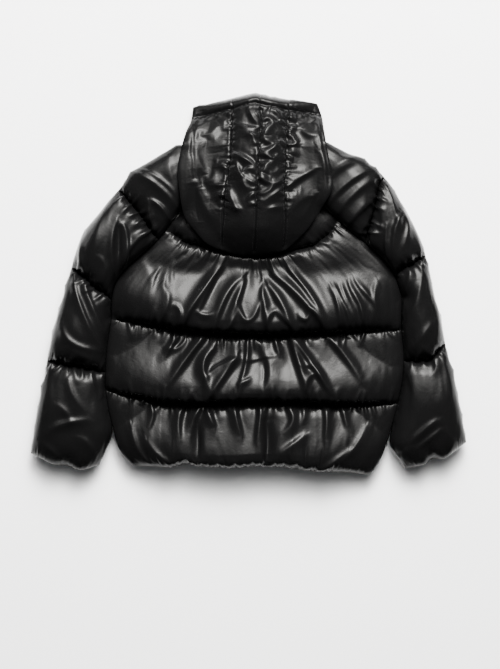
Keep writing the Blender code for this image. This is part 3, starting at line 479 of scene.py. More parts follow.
def nearest_on_curve(spots, path):
    """Distance of each spot from a short path, its place along it and its side of it."""
    nearest = np.full(len(spots), np.inf)
    place = np.zeros(len(spots))
    turn = np.zeros(len(spots))
    for k in range(FOLD_STEPS):
        span = path[k + 1] - path[k]
        gap = spots - path[k]
        t = np.clip((gap @ span) / (span @ span), 0.0, 1.0)
        away = gap - t[:, None] * span
        size = (away ** 2).sum(axis=-1)
        closer = size < nearest
        nearest = np.where(closer, size, nearest)
        place = np.where(closer, (k + t) / FOLD_STEPS, place)
        turn = np.where(closer, span[0] * gap[:, 1] - span[1] * gap[:, 0], turn)
    return np.sqrt(nearest), place, turn


def folds(points, table):
    """Height of a table's folds at each grid point."""
    height = np.zeros(points.shape[:-1])
    for row in table:
        fold = dict(zip(FOLD_COLUMNS, row))
        start = np.array([fold["x0"], fold["y0"]]) * MM
        middle = np.array([fold["x1"], fold["y1"]]) * MM
        end = np.array([fold["x2"], fold["y2"]]) * MM
        t = np.linspace(0.0, 1.0, FOLD_STEPS + 1)[:, None]
        bend = 2 * middle - 0.5 * (start + end)
        path = (1 - t) ** 2 * start + 2 * t * (1 - t) * bend + t ** 2 * end
        reach = fold["width"] * MM
        low = path.min(axis=0) - FOLD_FAR * reach
        high = path.max(axis=0) + FOLD_FAR * reach
        near = np.all((points > low) & (points < high), axis=-1)
        away, place, turn = nearest_on_curve(points[near], path)
        outward = 1.0 if start[0] + end[0] > 2 * CENTRE_X else -1.0
        away = away / reach / (1.0 + FOLD_LEAN * (turn * outward > 0))
        wave = np.clip(FOLD_TAPER[0] + FOLD_TAPER[1] * place, 0.0, 1.0)
        taper = np.sin(math.pi * wave) ** FOLD_FULLNESS
        crest = np.exp(-away ** FOLD_FALL) - FOLD_TROUGH * ridge(away, FOLD_TROUGH_WIDTH)
        height[near] += fold["height"] * MM * taper * crest
    return height


def gathers(points, rng, path, side, spacing, length, height, strength=EVEN):
    """Short uneven ridges that leave a line of stitching on one side of it.

    strength gives their height along the path, as pairs of a place from 0 to 1 and a share.
    """
    rise = np.zeros(points.shape[:-1])
    place = run_lengths(path)
    steps = np.hypot(*np.diff(path, axis=0).T)
    shares = np.array(strength)
    at = rng.uniform(0.0, spacing)
    while at < place[-1]:
        k = min(max(np.searchsorted(place, at) - 1, 0), len(steps) - 1)
        forward = (path[k + 1] - path[k]) / steps[k]
        spot = path[k] + forward * (at - place[k])
        share = np.interp(at / place[-1], shares[:, 0], shares[:, 1])
        reach = length * rng.uniform(*GATHER_REACH)
        wide = rng.uniform(*GATHER_WIDTH)
        tall = height * share * rng.uniform(*GATHER_RISE)
        slant = rng.normal(0.0, GATHER_SLANT)
        normal = side * np.array([-forward[1], forward[0]])
        ahead = normal * math.cos(slant) + forward * math.sin(slant)
        near = np.all(np.abs(points - spot) < reach + 3 * wide, axis=-1)
        gap = points[near] - spot
        t = gap @ ahead / reach
        away = np.abs(gap @ np.array([-ahead[1], ahead[0]])) / (wide * (1 + np.clip(t, 0, 1)))
        foot = np.clip(t * reach / GATHER_START + GATHER_FOOT, 0, 1)
        ends = np.clip(1 - t, 0, 1) * foot
        rise[near] += tall * ends * np.exp(-away ** 2)
        at += spacing * rng.uniform(*GATHER_STEP)
    return rise


def gathered(crease, points, rng, rows):
    """A relief with gathers added; each row says what gathers needs from path on."""
    for row in rows:
        crease = crease + gathers(points, rng, *row)
    return crease


def both_sides(lines, *row):
    """Rows of gathers on both sides of each line."""
    return [(line, side, *row) for line in lines for side in (1, -1)]


def swells(points, table):
    """Broad low rises of the padding: x, y, two half widths and a height, in mm."""
    height = np.zeros(points.shape[:-1])
    for x, y, half_x, half_y, rise in table:
        u = (points[..., 0] - x * MM) / (half_x * MM)
        v = (points[..., 1] - y * MM) / (half_y * MM)
        height += rise * MM * np.exp(-u * u - v * v)
    return height


# ---------------------------------------------------------------- cloth solver

# Passes of the solver, coarse to fine: grid stride, steps, push along the normal, bending,
# height and size of the noise that starts the wrinkles, and spare length everywhere.
STAGE_COLUMNS = ("stride", "steps", "push", "bend", "noise", "noise_rows", "noise_columns",
                 "spare")
STAGES = [
    (8, 200, 0.000022, 0.05, 0.0020, 5.0, 2.4, 0.000),
    (4, 150, 0.000016, 0.07, 0.0008, 8.0, 3.0, 0.000),
    (2, 110, 0.000006, 0.08, 0.0004, 8.0, 4.0, 0.003),
    (1, 60, 0.00000, 0.07, 0.0002, 7.0, 4.0, 0.004),
]
COARSEST = STAGES[0][0]
FACING_STEPS = 4            # the push's direction is worked out again after so many steps
ANCHOR = 0.0012             # share of each move that the padding pulls back per step
STIFF = 0.90                # how fully a thread's length is restored per step
SHEAR = 0.50                # the same for a cell's diagonals
BOTH_WAYS = np.array([1.0, 0.0, 1.0])   # spare cloth alike along x and y


def doubled(grid):
    """The grid at twice its resolution, its ends kept."""
    tall = np.empty((grid.shape[0] * 2 - 1, *grid.shape[1:]))
    tall[::2] = grid
    tall[1::2] = 0.5 * (grid[1:] + grid[:-1])
    wide = np.empty((tall.shape[0], tall.shape[1] * 2 - 1, *grid.shape[2:]))
    wide[:, ::2] = tall
    wide[:, 1::2] = 0.5 * (tall[:, 1:] + tall[:, :-1])
    return wide


def pair_sets(rows, columns):
    """Slices of neighbouring points, in sets whose pairs share no point, and their grip."""
    sets = []
    for first in (0, 1):
        last = columns - (columns - first) % 2
        sets.append((np.s_[:, first:last:2], np.s_[:, first + 1:last:2], STIFF))
        last = rows - (rows - first) % 2
        upper, lower = slice(first, last, 2), slice(first + 1, last, 2)
        near, far = slice(0, columns - 1), slice(1, columns)
        sets.append(((upper,), (lower,), STIFF))
        sets.append(((upper, near), (lower, far), SHEAR))
        sets.append(((upper, far), (lower, near), SHEAR))
    return sets


def smooth_noise(rng, rows, columns, cell_rows, cell_columns):
    """Noise of about unit size that varies over this many rows and columns."""
    low = rng.standard_normal((int(rows / cell_rows) + 4, int(columns / cell_columns) + 4))

    def eased(known, wanted):
        at = np.linspace(0.5, known - 1.5, wanted)
        base = np.floor(at).astype(int)
        return base, ease(at - base)

    i, u = eased(low.shape[0], rows)
    j, v = eased(low.shape[1], columns)
    u = u[:, None]
    v = v[None, :]
    top = low[i][:, j] * (1 - v) + low[i][:, j + 1] * v
    bottom = low[i + 1][:, j] * (1 - v) + low[i + 1][:, j + 1] * v
    return top * (1 - u) + bottom * u


def patchy(rng, shape, cell_rows, cell_columns, mean, swing, most):
    """Uneven shares from 0 to a most, whose patches have this size in grid cells."""
    noise = smooth_noise(rng, *shape, cell_rows, cell_columns)
    return np.clip(mean + swing * noise, 0.0, most)


def slack_along(direction, amount):
    """Spare cloth that folds along a direction: its parts xx, xy and yy at each point."""
    size = lengths(direction)
    x = -direction[..., 1] / size
    y = direction[..., 0] / size
    return np.stack([amount * x * x, amount * x * y, amount * y * y], axis=-1)


def make_threads(home, loose, spare):
    """Threads between neighbours: their two ends, their length and each end's share."""
    threads = []
    for a, b, grip in pair_sets(*loose.shape):
        span = home[b] - home[a]
        plan = np.maximum(np.hypot(span[..., 0], span[..., 1]), TINY)
        x = span[..., 0] / plan
        y = span[..., 1] / plan
        extra = 0.5 * (spare[a] + spare[b])
        stretch = extra[..., 0] * x * x + 2 * extra[..., 1] * x * y + extra[..., 2] * y * y
        share = loose[a] + loose[b] + TINY
        threads.append((a, b, lengths(span) * (1 + stretch), grip * loose[a] / share,
                        grip * loose[b] / share))
    return threads


def settle(points, home, loose, low, threads, stage, cap):
    """Runs one pass of the solver on the points, and returns them."""
    for step in range(stage["steps"]):
        if step % FACING_STEPS == 0:
            facing = normals(points)
        points += facing * (stage["push"] * loose)[..., None]
        for a, b, rest, pull_a, pull_b in threads:
            span = points[b] - points[a]
            size = lengths(span)
            change = (size - rest) / np.maximum(size, TINY)
            points[a] += (change * pull_a)[..., None] * span
            points[b] -= (change * pull_b)[..., None] * span
        shift = points - home
        middle = shift[1:-1, 1:-1]
        middle += stage["bend"] * loose[1:-1, 1:-1, None] * (around(shift) - middle)
        shift -= ANCHOR * loose[..., None] * shift
        shift *= np.minimum(1.0, cap / np.maximum(lengths(shift)[..., None], TINY))
        points = home + shift
        points[..., 2] = np.maximum(points[..., 2], low)
    return points


def crumple(base, slack, free, rng, cap, floor):
    """Settles a shell that has spare cloth on its shape, coarse to fine.

    free is 1 where the shell moves freely and 0 where stitching holds it, cap is its
    largest move and floor its lowest level.
    """
    moved = np.zeros_like(base[::COARSEST, ::COARSEST])
    for row in STAGES:
        stage = dict(zip(STAGE_COLUMNS, row))
        every = np.s_[::stage["stride"], ::stage["stride"]]
        home, loose, low = base[every], free[every], floor[every]
        if stage["stride"] != COARSEST:
            moved = doubled(moved)
        points = home + moved
        ripple = smooth_noise(rng, *loose.shape, stage["noise_rows"], stage["noise_columns"])
        points += normals(points) * (stage["noise"] * loose * ripple)[..., None]
        threads = make_threads(home, loose, slack[every] + stage["spare"] * BOTH_WAYS)
        moved = settle(points, home, loose, low, threads, stage, cap) - home
    return base + moved


# ---------------------------------------------------------------- meshes

SHARP = math.radians(75)    # edges keener than this stay sharp


def add_mesh(name, points, faces, material, nodes):
    """A piece made from points and faces, that replaces nodes of the model."""
    data = bpy.data.meshes.new(name)
    data.from_pydata(points.tolist(), [], faces)
    data.validate()
    data.shade_smooth()
    data.set_sharp_from_angle(angle=SHARP)
    data.materials.append(material)
    item = bpy.data.objects.new(name, data)
    bpy.context.scene.collection.objects.link(item)
    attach(item, "root")
    if nodes:
        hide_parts(*nodes)
    return item


def grid_faces(rows, columns, start=0, flip=False):
    """Faces between the points of a grid, numbered row by row."""
    index = start + np.arange(rows * columns).reshape(rows, columns)
    quads = np.stack([index[:-1, :-1], index[:-1, 1:], index[1:, 1:], index[1:, :-1]], -1)
    if flip:
        quads = quads[..., ::-1]
    return quads.reshape(-1, 4).tolist()


def border(rows, columns):
    """Indices of a grid's border points, in one turn around it."""
    index = np.arange(rows * columns).reshape(rows, columns)
    return np.concatenate([index[0, :-1], index[:-1, -1], index[-1, :0:-1],
                           index[:0:-1, 0]])


def is_facing(points, up):
    """Whether a grid's faces as numbered point the way that up says."""
    across = points[:-1, 1:] - points[:-1, :-1]
    down = points[1:, :-1] - points[:-1, :-1]
    return (np.cross(across, down)[..., 2].mean() > 0) == up


def side_faces(ring, lower, flip):
    """Faces between a ring of points and the ring below it."""
    sides = np.stack([np.roll(ring, -1), ring, lower, np.roll(lower, -1)], -1)
    return (sides[:, ::-1] if flip else sides).tolist()


def flat_backed(name, outer, level, material, up=True):
    """A padded piece: a fine outer grid over one flat inner face at a level."""
    rows, columns = outer.shape[:2]
    flip = not is_facing(outer, up)
    ring = border(rows, columns)
    edge = outer.reshape(-1, 3)[ring].copy()
    edge[:, 2] = level
    inner = rows * columns + np.arange(len(ring))
    back = inner if flip else inner[::-1]
    faces = grid_faces(rows, columns, 0, flip) + side_faces(ring, inner, flip)
    faces.append(back.tolist())
    points = np.vstack([outer.reshape(-1, 3), edge])
    return add_mesh(name + "_shell", points, faces, material, [name])


def two_skins(name, outer, inner, material):
    """A padded piece between two grids of the same rows and columns."""
    rows, columns = outer.shape[:2]
    flip = not is_facing(outer[:, :columns // 2], True)
    ring = border(rows, columns)
    faces = (grid_faces(rows, columns, 0, flip)
             + grid_faces(rows, columns, rows * columns, not flip)
             + side_faces(ring, ring + rows * columns, flip))
    points = np.vstack([outer.reshape(-1, 3), inner.reshape(-1, 3)])
    return add_mesh(name + "_shell", points, faces, material, [name])


# ---------------------------------------------------------------- body

# Cells of each grid, and how much they crowd at its ends.
BACK_ACROSS = (288, 0.25)
FRONT_ACROSS = (64, 0.7)
FRONT_UP = (200, 0.5)
SLEEVE_ACROSS = (88, 0.45)
SLEEVE_UNDER_ACROSS = (24, 0.8)
CHANNEL_CROWDING = 0.15
# Rows of cells in each channel: the back's from the hem up, the sleeves' from the neck down.
CHANNEL_CELLS = [64, 64, 64, 32]
SLEEVE_CHANNEL_CELLS = [96, 72, 72, 80]
# Where each of the back's channels is fullest, from its low line, how high its upper part
# is, and how much of its width the slope above the fullest place takes.
BODY_PEAK = [0.26, 0.14, 0.14, 0.30]
BODY_PLATEAU = [0.50, 0.45, 0.42, 0.60]
BODY_SLOPE = [0.90, 0.85, 0.62, 0.90]
KEEN = 0.75                 # share of the slope that is keen, in the middle of the back
KEEN_HALF = 0.13            # how far that middle reaches
SLEEVE_PEAK = [0.40, 0.38, 0.34, 0.50]
SLEEVE_PLATEAU = [0.60, 0.78, 0.70, 0.62]
SLEEVE_SLOPE = 0.95
SIDE_ROUND = 0.095          # how far in from a side seam the back reaches its height
RAGLAN_ROUND = 0.045        # the same from a sleeve's seam
DOME_DROP = 0.020           # how much lower the back's padding is at the sides
DOME_HALF = 0.27            # where it is that much lower
DOME_LEAST = 0.3            # share of the padding that stays everywhere
GROOVE_DEPTH = 0.0022       # the undersides' grooves where the quilting goes round
GROOVE_WIDTH = 0.0045
STEP_WIDTH = 0.0004         # the fronts step down to the strip over the zip within this
SWELL_EASE = 0.030          # swells fade out this near to a line of stitching
LINE_EASE = 0.010           # the same for folds, and for the solver's moves
EDGE_EASE = 0.012           # folds and gathers fade out this near to an edge
FREE_EASE = 0.008           # the same for the solver's moves
FOLD_EASE = 0.020           # the same near a sleeve's folded edge, where some of both stays
FOLD_RELIEF = 0.15
FOLD_FREE = 0.25
FOLD_EDGE_FREE = 0.5        # share of that for the folded edge's own points
BACK_CAP = 0.014            # largest move of the cloth solver on the back
SLEEVE_CAP = 0.012
FAN_SPOT = (0.008, 0.138)   # the place under the hood that the back's folds fan out from
FAN_END = -0.20             # below this the folds run straight down
FAN_FADE = 0.06             # height of the stretch in which they turn
BACK_SPARE = 0.085          # spare cloth that makes the back's long folds
BACK_EVEN_SPARE = 0.006     # spare cloth along x and y everywhere
FOLD_FIELD = 0.16           # half width of the stretch with long folds
LINE_SPARE = 0.030          # spare cloth beside each line of stitching
LINE_REACH = 0.022
SLEEVE_SPARE = 0.045
SLEEVE_EVEN_SPARE = 0.008
# Where the spare cloth is: a patch's rows and columns of cells, and the mean, the swing and
# the greatest value of its share.
BACK_PATCHES = (40, 30, 0.6, 0.5, 1.5)
SLEEVE_PATCHES = (40, 20, 0.6, 0.5, 1.5)
# Gathers along a line: spacing, mean length and height, and strength along the back's lines.
STITCH_GATHERS = (0.015, 0.026, 0.0034)
HEM_GATHERS = (0.020, 0.016, 0.0006)
CUFF_GATHERS = (0.014, 0.024, 0.003)
BACK_STRENGTH = ((0.0, 0.7), (0.2, 1.1), (0.3, 0.5), (0.7, 0.5), (0.8, 1.1), (1.0, 0.7))
NAPE_STRENGTH = ((0.0, 0.9), (0.22, 1.0), (0.34, 0.15), (0.66, 0.15), (0.78, 1.0), (1.0, 0.9))
BACK_SWELLS = [(-160, -40, 62, 46, 4), (184, -64, 62, 44, 4), (40, -200, 110, 30, 4),
               (-60, -262, 60, 36, 3), (110, -262, 70, 36, 3), (4, 36, 92, 30, -9)]
SLEEVE_SWELLS = [
    [(-328, -190, 36, 44, 6), (-300, 90, 34, 60, 4), (-334, -90, 30, 40, 3)],
    [(332, -190, 34, 42, 6), (216, 150, 44, 36, 4), (316, -50, 24, 70, 3)],
]


def channel_grid(lines, left, right, cells, across):
    """Rows of padded channels between lines, with each row's place in its channel."""
    grids = []
    places = []
    for k, count in enumerate(cells):
        low, high = lines[k], lines[k + 1]
        up = crowded(count, CHANNEL_CROWDING)
        grid = patch_between(low, high, cut(left, low[0, 1], high[0, 1]),
                             cut(right, low[-1, 1], high[-1, 1]), across, up)
        first = 0 if k == 0 else 1
        grids.append(grid[first:])
        places.append(up[first:])
    return np.vstack(grids), np.concatenate(places)


def bulge(place, peak, plateau, reach, keen=0.0):
    """Height of a padded channel across its width.

    The filling has sunk to the peak, near the channel's low line. Above it the shell slopes
    down over the reach, and then runs level, at the plateau's height, up to the high line.
    The keen share of the slope is steepest at the peak, and the rest half way down.
    """
    below = np.clip((peak - place) / peak, 0.0, 1.0)
    above = np.clip((place - peak) / (1.0 - peak), 0.0, 1.0)
    down = np.clip(above / reach, 0.0, 1.0)
    sunk = 0.5 + 0.5 * np.cos(math.pi * down)
    sunk += keen * (1.0 - np.sin(0.5 * math.pi * down) - sunk)
    upper = (1.0 - plateau) * sunk + plateau * np.sqrt(1.0 - above ** 12)
    lower = np.sqrt(1.0 - below ** 4)
    return np.where(place < peak, lower, upper)


def channel_values(cells, *tables):
    """For each table of one value a channel, that value repeated for the channel's rows."""
    counts = [count + (k == 0) for k, count in enumerate(cells)]
    return [np.repeat(table, counts) for table in tables]


def line_rows(cells):
    """Row numbers of the stitched lines."""
    return np.concatenate([[0], np.cumsum(cells)])


def near_line(points, cells):
    """Distance of each grid point from the nearest stitched line across the grid."""
    reach = np.full(points.shape[:2], np.inf)
    for row in line_rows(cells):
        reach = np.minimum(reach, np.hypot(*np.moveaxis(points - points[row], -1, 0)))
    return reach


def back_padding(points, place, line):
    """Height of the back's padding, before its edges are rounded off."""
    x = points[..., 0] - CENTRE_X
    peak, plateau, slope, height = channel_values(CHANNEL_CELLS, BODY_PEAK, BODY_PLATEAU,
                                                  BODY_SLOPE, BODY_PADDING)
    full = bulge(place, peak, plateau, slope)[:, None]
    keen = bulge(place, peak, plateau, slope, KEEN)[:, None]
    padding = height[:, None] * (full + ridge(x, KEEN_HALF) * (keen - full))
    dome = DOME_DROP * np.clip(np.abs(x) / DOME_HALF, 0.0, 1.0) ** 2
    padding = np.maximum(padding - dome, DOME_LEAST * padding)
    return padding + swells(points, BACK_SWELLS) * ease(line / SWELL_EASE)


def back_slack(points, line, rng):
    """The back's spare cloth: for long folds that fan out under the hood, and at its lines."""
    x, y = np.moveaxis(points, -1, 0)
    fan = points - np.array(FAN_SPOT)
    fan /= np.maximum(np.hypot(fan[..., 0], fan[..., 1]), TINY)[..., None]
    share = ease((y - FAN_END) / FAN_FADE)[..., None]
    fan = fan * share + np.array([0.0, -1.0]) * (1 - share)
    amount = BACK_SPARE * np.exp(-(x / FOLD_FIELD) ** 4) * patchy(rng, x.shape, *BACK_PATCHES)
    slack = slack_along(fan, amount + LINE_SPARE * ridge(line, LINE_REACH))
    return slack + BACK_EVEN_SPARE * BOTH_WAYS


def back_piece(pattern, rng, material):
    """The back panel, with its folds, crumpled along its seams."""
    left, right = pattern.body
    lines = [between(line, left, right) for line in pattern.lines]
    points, place = channel_grid(lines, left, right, CHANNEL_CELLS, crowded(*BACK_ACROSS))
    side = distance(points, *pattern.side)
    seam = distance(points, *pattern.raglan)
    line = near_line(points, CHANNEL_CELLS)
    edge = np.minimum(side, seam)
    round_off = roll(side, SIDE_ROUND) * roll(seam, RAGLAN_ROUND)
    thin = EDGE_WALL + (STITCHED_WALL - EDGE_WALL) * roll(side, EDGE_ROUND)
    full = back_padding(points, place, line)
    base = raised(points, LINING_LEVEL + thin + full * round_off)
    rows = (both_sides(lines[1:3], *STITCH_GATHERS, BACK_STRENGTH)
            + both_sides(lines[3:4], *STITCH_GATHERS, NAPE_STRENGTH)
            + [(lines[0], 1, *HEM_GATHERS)])
    crease = gathered(folds(points, BACK_FOLDS) * ease(line / LINE_EASE), points, rng, rows)
    base += normals(base) * (crease * ease(edge / EDGE_EASE))[..., None]
    base[..., 2] = np.maximum(base[..., 2], LINING_LEVEL + EDGE_WALL)
    free = ease(line / LINE_EASE) * ease(edge / FREE_EASE)
    free[0] = free[-1] = 0.0
    free[:, 0] = free[:, -1] = 0.0
    floor = np.full(points.shape[:2], LINING_LEVEL + EDGE_WALL)
    outer = crumple(base, back_slack(points, line, rng), free, rng, BACK_CAP, floor)
    outer[..., :2] = inset(outer[..., :2])
    piece = flat_backed("back", outer, LINING_LEVEL + SLIT / 2, material)
    return outer


def front_piece(side, pattern, material):
    """One front: flat below, its edges rounding up, faint grooves at its quilting."""
    sign = (-1, 1)[side]
    step_x = CENTRE_X + sign * ZIP_STEP
    body = pattern.body[side]
    hem = between(pattern.lines[0] + np.array([0.0, FRONT_HEM_RISE]), *pattern.body)
    corner = hem[(0, -1)[side]]
    edge = cut(body, corner[1], body[0, 1])
    hem = cut(hem, corner[0], step_x, axis=0)
    neck = np.array([edge[-1], [step_x, FRONT_NECK[side]]])
    middle = np.array([hem[-1], neck[-1]])
    grid = patch_between(hem, neck, edge, middle, crowded(*FRONT_ACROSS), crowded(*FRONT_UP))
    near = grid[:, -1:].copy()
    near[..., 0] = CENTRE_X + sign * (ZIP_STEP - STEP_WIDTH)
    last = near.copy()
    last[..., 0] = CENTRE_X
    points = np.concatenate([grid, near, last], axis=1)
    flat = roll(distance(points, pattern.side[side]), UNDER_ROUND)
    flat = flat * roll(distance(points, hem), UNDER_ROUND)
    low = (LINING_LEVEL - EDGE_WALL) * (1.0 - flat)
    low += GROOVE_DEPTH * ridge(distance(points, *pattern.lines[1:4]), GROOVE_WIDTH)
    low[:, -2:] = np.maximum(low[:, -2:], ZIP_ROOM)
    piece = flat_backed("front_" + SIDES[side], raised(inset(points), low),
                        LINING_LEVEL - SLIT / 2, material, up=False)


def sleeve_grid(side, pattern, across):
    """Grid of one sleeve from neck to cuff, and each row's place in its channel."""
    lines = [between(line, pattern.sleeve[side], pattern.outer[side])
             for line in pattern.across[side]]
    return channel_grid(lines, pattern.sleeve[side], pattern.outer[side],
                        SLEEVE_CHANNEL_CELLS, across)


def sleeve_slack(side, pattern, shape, line, rng):
    """A sleeve's spare cloth: for folds along the arm, and at its lines."""
    arm = pattern.outer[side][-1] - pattern.outer[side][0]
    amount = (SLEEVE_SPARE * patchy(rng, shape, *SLEEVE_PATCHES)
              + LINE_SPARE * ridge(line, LINE_REACH))
    slack = slack_along(np.broadcast_to(arm, (*shape, 2)), amount)
    return slack + SLEEVE_EVEN_SPARE * BOTH_WAYS


def sleeve_top(side, pattern, rng):
    """The upper half of a sleeve: its crumpled outer grid and its inner one."""
    across = crowded(*SLEEVE_ACROSS)
    points, place = sleeve_grid(side, pattern, across)
    peak, plateau, height = channel_values(SLEEVE_CHANNEL_CELLS, SLEEVE_PEAK, SLEEVE_PLATEAU,
                                           SLEEVE_PADDING)
    padding = (height * bulge(1.0 - place, peak, plateau, SLEEVE_SLOPE))[:, None]
    seam = distance(points, pattern.raglan[side])
    underarm = distance(points, pattern.underarm[side])
    fold = distance(points, pattern.outer[side])
    line = near_line(points, SLEEVE_CHANNEL_CELLS)
    edge = np.minimum(seam, underarm)
    round_off = roll(seam, SEAM_ROUND) * roll(underarm, EDGE_ROUND)
    full = padding + swells(points, SLEEVE_SWELLS[side]) * ease(line / SWELL_EASE)
    lift = np.maximum(STITCHED_WALL + full * round_off, EDGE_WALL)
    base = raised(points, LINING_LEVEL + lift * roll(fold, EDGE_ROUND))
    stitched = pattern.across[side]
    rows = both_sides(stitched[1:4], *STITCH_GATHERS)
    rows.append((stitched[4], (1, -1)[side], *CUFF_GATHERS))
    crease = folds(points, (LEFT_FOLDS, RIGHT_FOLDS)[side]) * ease(line / LINE_EASE)
    crease = gathered(crease, points, rng, rows)
    crease = crease * ease(edge / EDGE_EASE) * ease(FOLD_RELIEF + fold / FOLD_EASE)
    base += normals(base) * crease[..., None]
    floor = LINING_LEVEL + EDGE_WALL * roll(fold, EDGE_ROUND)
    base[..., 2] = np.maximum(base[..., 2], floor)
    slack = sleeve_slack(side, pattern, floor.shape, line, rng)
    free = ease(line / LINE_EASE) * ease(edge / FREE_EASE)
    free = free * (FOLD_FREE + (1.0 - FOLD_FREE) * ease(fold / FOLD_EASE))
    free[0] = free[-1] = 0.0
    free[:, 0] = 0.0
    free[:, -1] *= FOLD_EDGE_FREE
    outer = crumple(base, slack, free, rng, SLEEVE_CAP, floor)
    outer[:, :-1, :2] = inset(outer[..., :2])[:, :-1]
    inner = raised(drawn_in(points, across, FOLD_CORE), LINING_LEVEL + SLIT / 2)
    inner[:, -1, 2] = LINING_LEVEL
    return outer, inner


def sleeve_under(side, pattern):
    """The under half of a sleeve, flat: its outer and inner grid, without the folded edge."""
    across = crowded(*SLEEVE_UNDER_ACROSS)
    points, _ = sleeve_grid(side, pattern, across)
    fold = roll(distance(points, pattern.outer[side]), UNDER_ROUND)
    flat = fold * roll(distance(points, pattern.underarm[side]), UNDER_ROUND)
    flat = flat * roll(distance(points, pattern.across[side][-1]), UNDER_ROUND)
    groove = ridge(near_line(points, SLEEVE_CHANNEL_CELLS), GROOVE_WIDTH)
    low = (LINING_LEVEL - EDGE_WALL * fold) * (1.0 - flat) + GROOVE_DEPTH * flat * groove
    drawn = inset(points)
    inner = raised(drawn_in(drawn, across, FOLD_CORE), LINING_LEVEL - SLIT / 2)
    return raised(drawn, low)[:, -2::-1], inner[:, -2::-1]


def sleeve_piece(side, pattern, rng, material):
    """One sleeve: crumpled on top, folded round its outer edge and flat below."""
    outer, inner = sleeve_top(side, pattern, rng)
    low_outer, low_inner = sleeve_under(side, pattern)
    piece = two_skins("sleeve_" + SIDES[side], np.concatenate([outer, low_outer], axis=1),
                      np.concatenate([inner, low_inner], axis=1), material)
    return outer


# ---------------------------------------------------------------- hood

HOOD_CELLS = 48             # across each of the four panels of the crown
HOOD_DOWN = (192, 0.15)     # cells from rim to bottom, and how much they crowd at the ends
HOOD_SIDE_UNDER = (20, 0.6)     # the same across the hood's lower layer
NAPE_DOWN = (48, 0.6)       # and down the nape
MAP_STEP = 0.004            # the map of the body under the hood: step, corner and cells
MAP_LOW = (-0.20, 0.02)
MAP_CELLS = (106, 72)
MAP_SMOOTHING = 14
CROWN_X = 0.018             # middle of the crown
CROWN_FALL = 0.31           # how steeply the crown falls to both sides of a round ridge
CROWN_RIDGE = 0.020
CROWN_SMOOTHING = 60
CROWN_KEPT = 0.030          # nearer to the edge than this the dome is smoothed less
CASING_SWELL = 0.007        # how far the turned hem swells, and its skew towards the rim
CASING_SKEW = 0.4
QUILT_DIP = 0.0014
QUILT_WIDTH = 0.0040
# The quilting sets in this far from the rim and this high up the hood, each over a length.
QUILT_RIM = (0.020, 0.030)
QUILT_HEIGHT = (0.15, 0.08)
# The seams' dip sets in from the rim too: its share of that step at a distance from the
# rim, and the step's length.
SEAM_DIP_SHARE = 0.35
SEAM_DIP_RIM = 0.015
SEAM_DIP_FADE = 0.05
DIP_EASE = 0.010            # all dips fade out this near to the hood's edge
# Gathers along the hood's seams: seam, side, spacing, length and height, and their strength
# down each seam; and along the casing's stitching: side, spacing, length and height.
HOOD_GATHERS = [(0, -1, 0.0080, 0.007, 0.0020), (0, -1, 0.024, 0.020, 0.0030),
                (0, 1, 0.021, 0.012, 0.0014), (1, 1, 0.026, 0.016, 0.0022),
                (1, -1, 0.023, 0.014, 0.0020), (2, 1, 0.018, 0.014, 0.0026),
                (2, -1, 0.011, 0.006, 0.0014)]
HOOD_STRENGTH = ((0.0, 0.2), (0.12, 1.0), (0.66, 1.0), (0.76, 0.15), (1.0, 0.1))
CASING_GATHERS = [(-1, 0.009, 0.014, 0.0026), (1, 0.014, 0.012, 0.0010)]
RIM_EASE = 0.006            # folds and gathers fade out this near to the rim
CRUMPLE_TOP = (0.345, 0.02)     # the hood's crumpled stretch ends at these heights, and
CRUMPLE_END = (0.130, 0.03)     # fades out over these
MIDDLE_HALF = 0.062         # half width of the crown's lively middle
MIDDLE_FADE = 0.02
HOOD_SPARE = 0.03           # spare cloth beside the seams
HOOD_SPARE_REACH = 0.014
CENTRE_SPARE = 0.022        # spare cloth in the middle
HOOD_EVEN_SPARE = 0.006
HOOD_PATCHES = (26, 20, 0.5, 0.7, 1.6)
SEAM_EASE = 0.006           # the solver's moves set in from a seam over this distance,
EDGE_FREE = (0.2, 0.02)     # and from the edge and the rim, where some stays, over these
RIM_FREE = (0.05, 0.015)
SIDE_FREE = 0.08            # how far the hood's sides may move, as a share of its middle
HOOD_CAP = 0.009            # largest move of the cloth solver, and largest move down
HOOD_SINK = 0.006


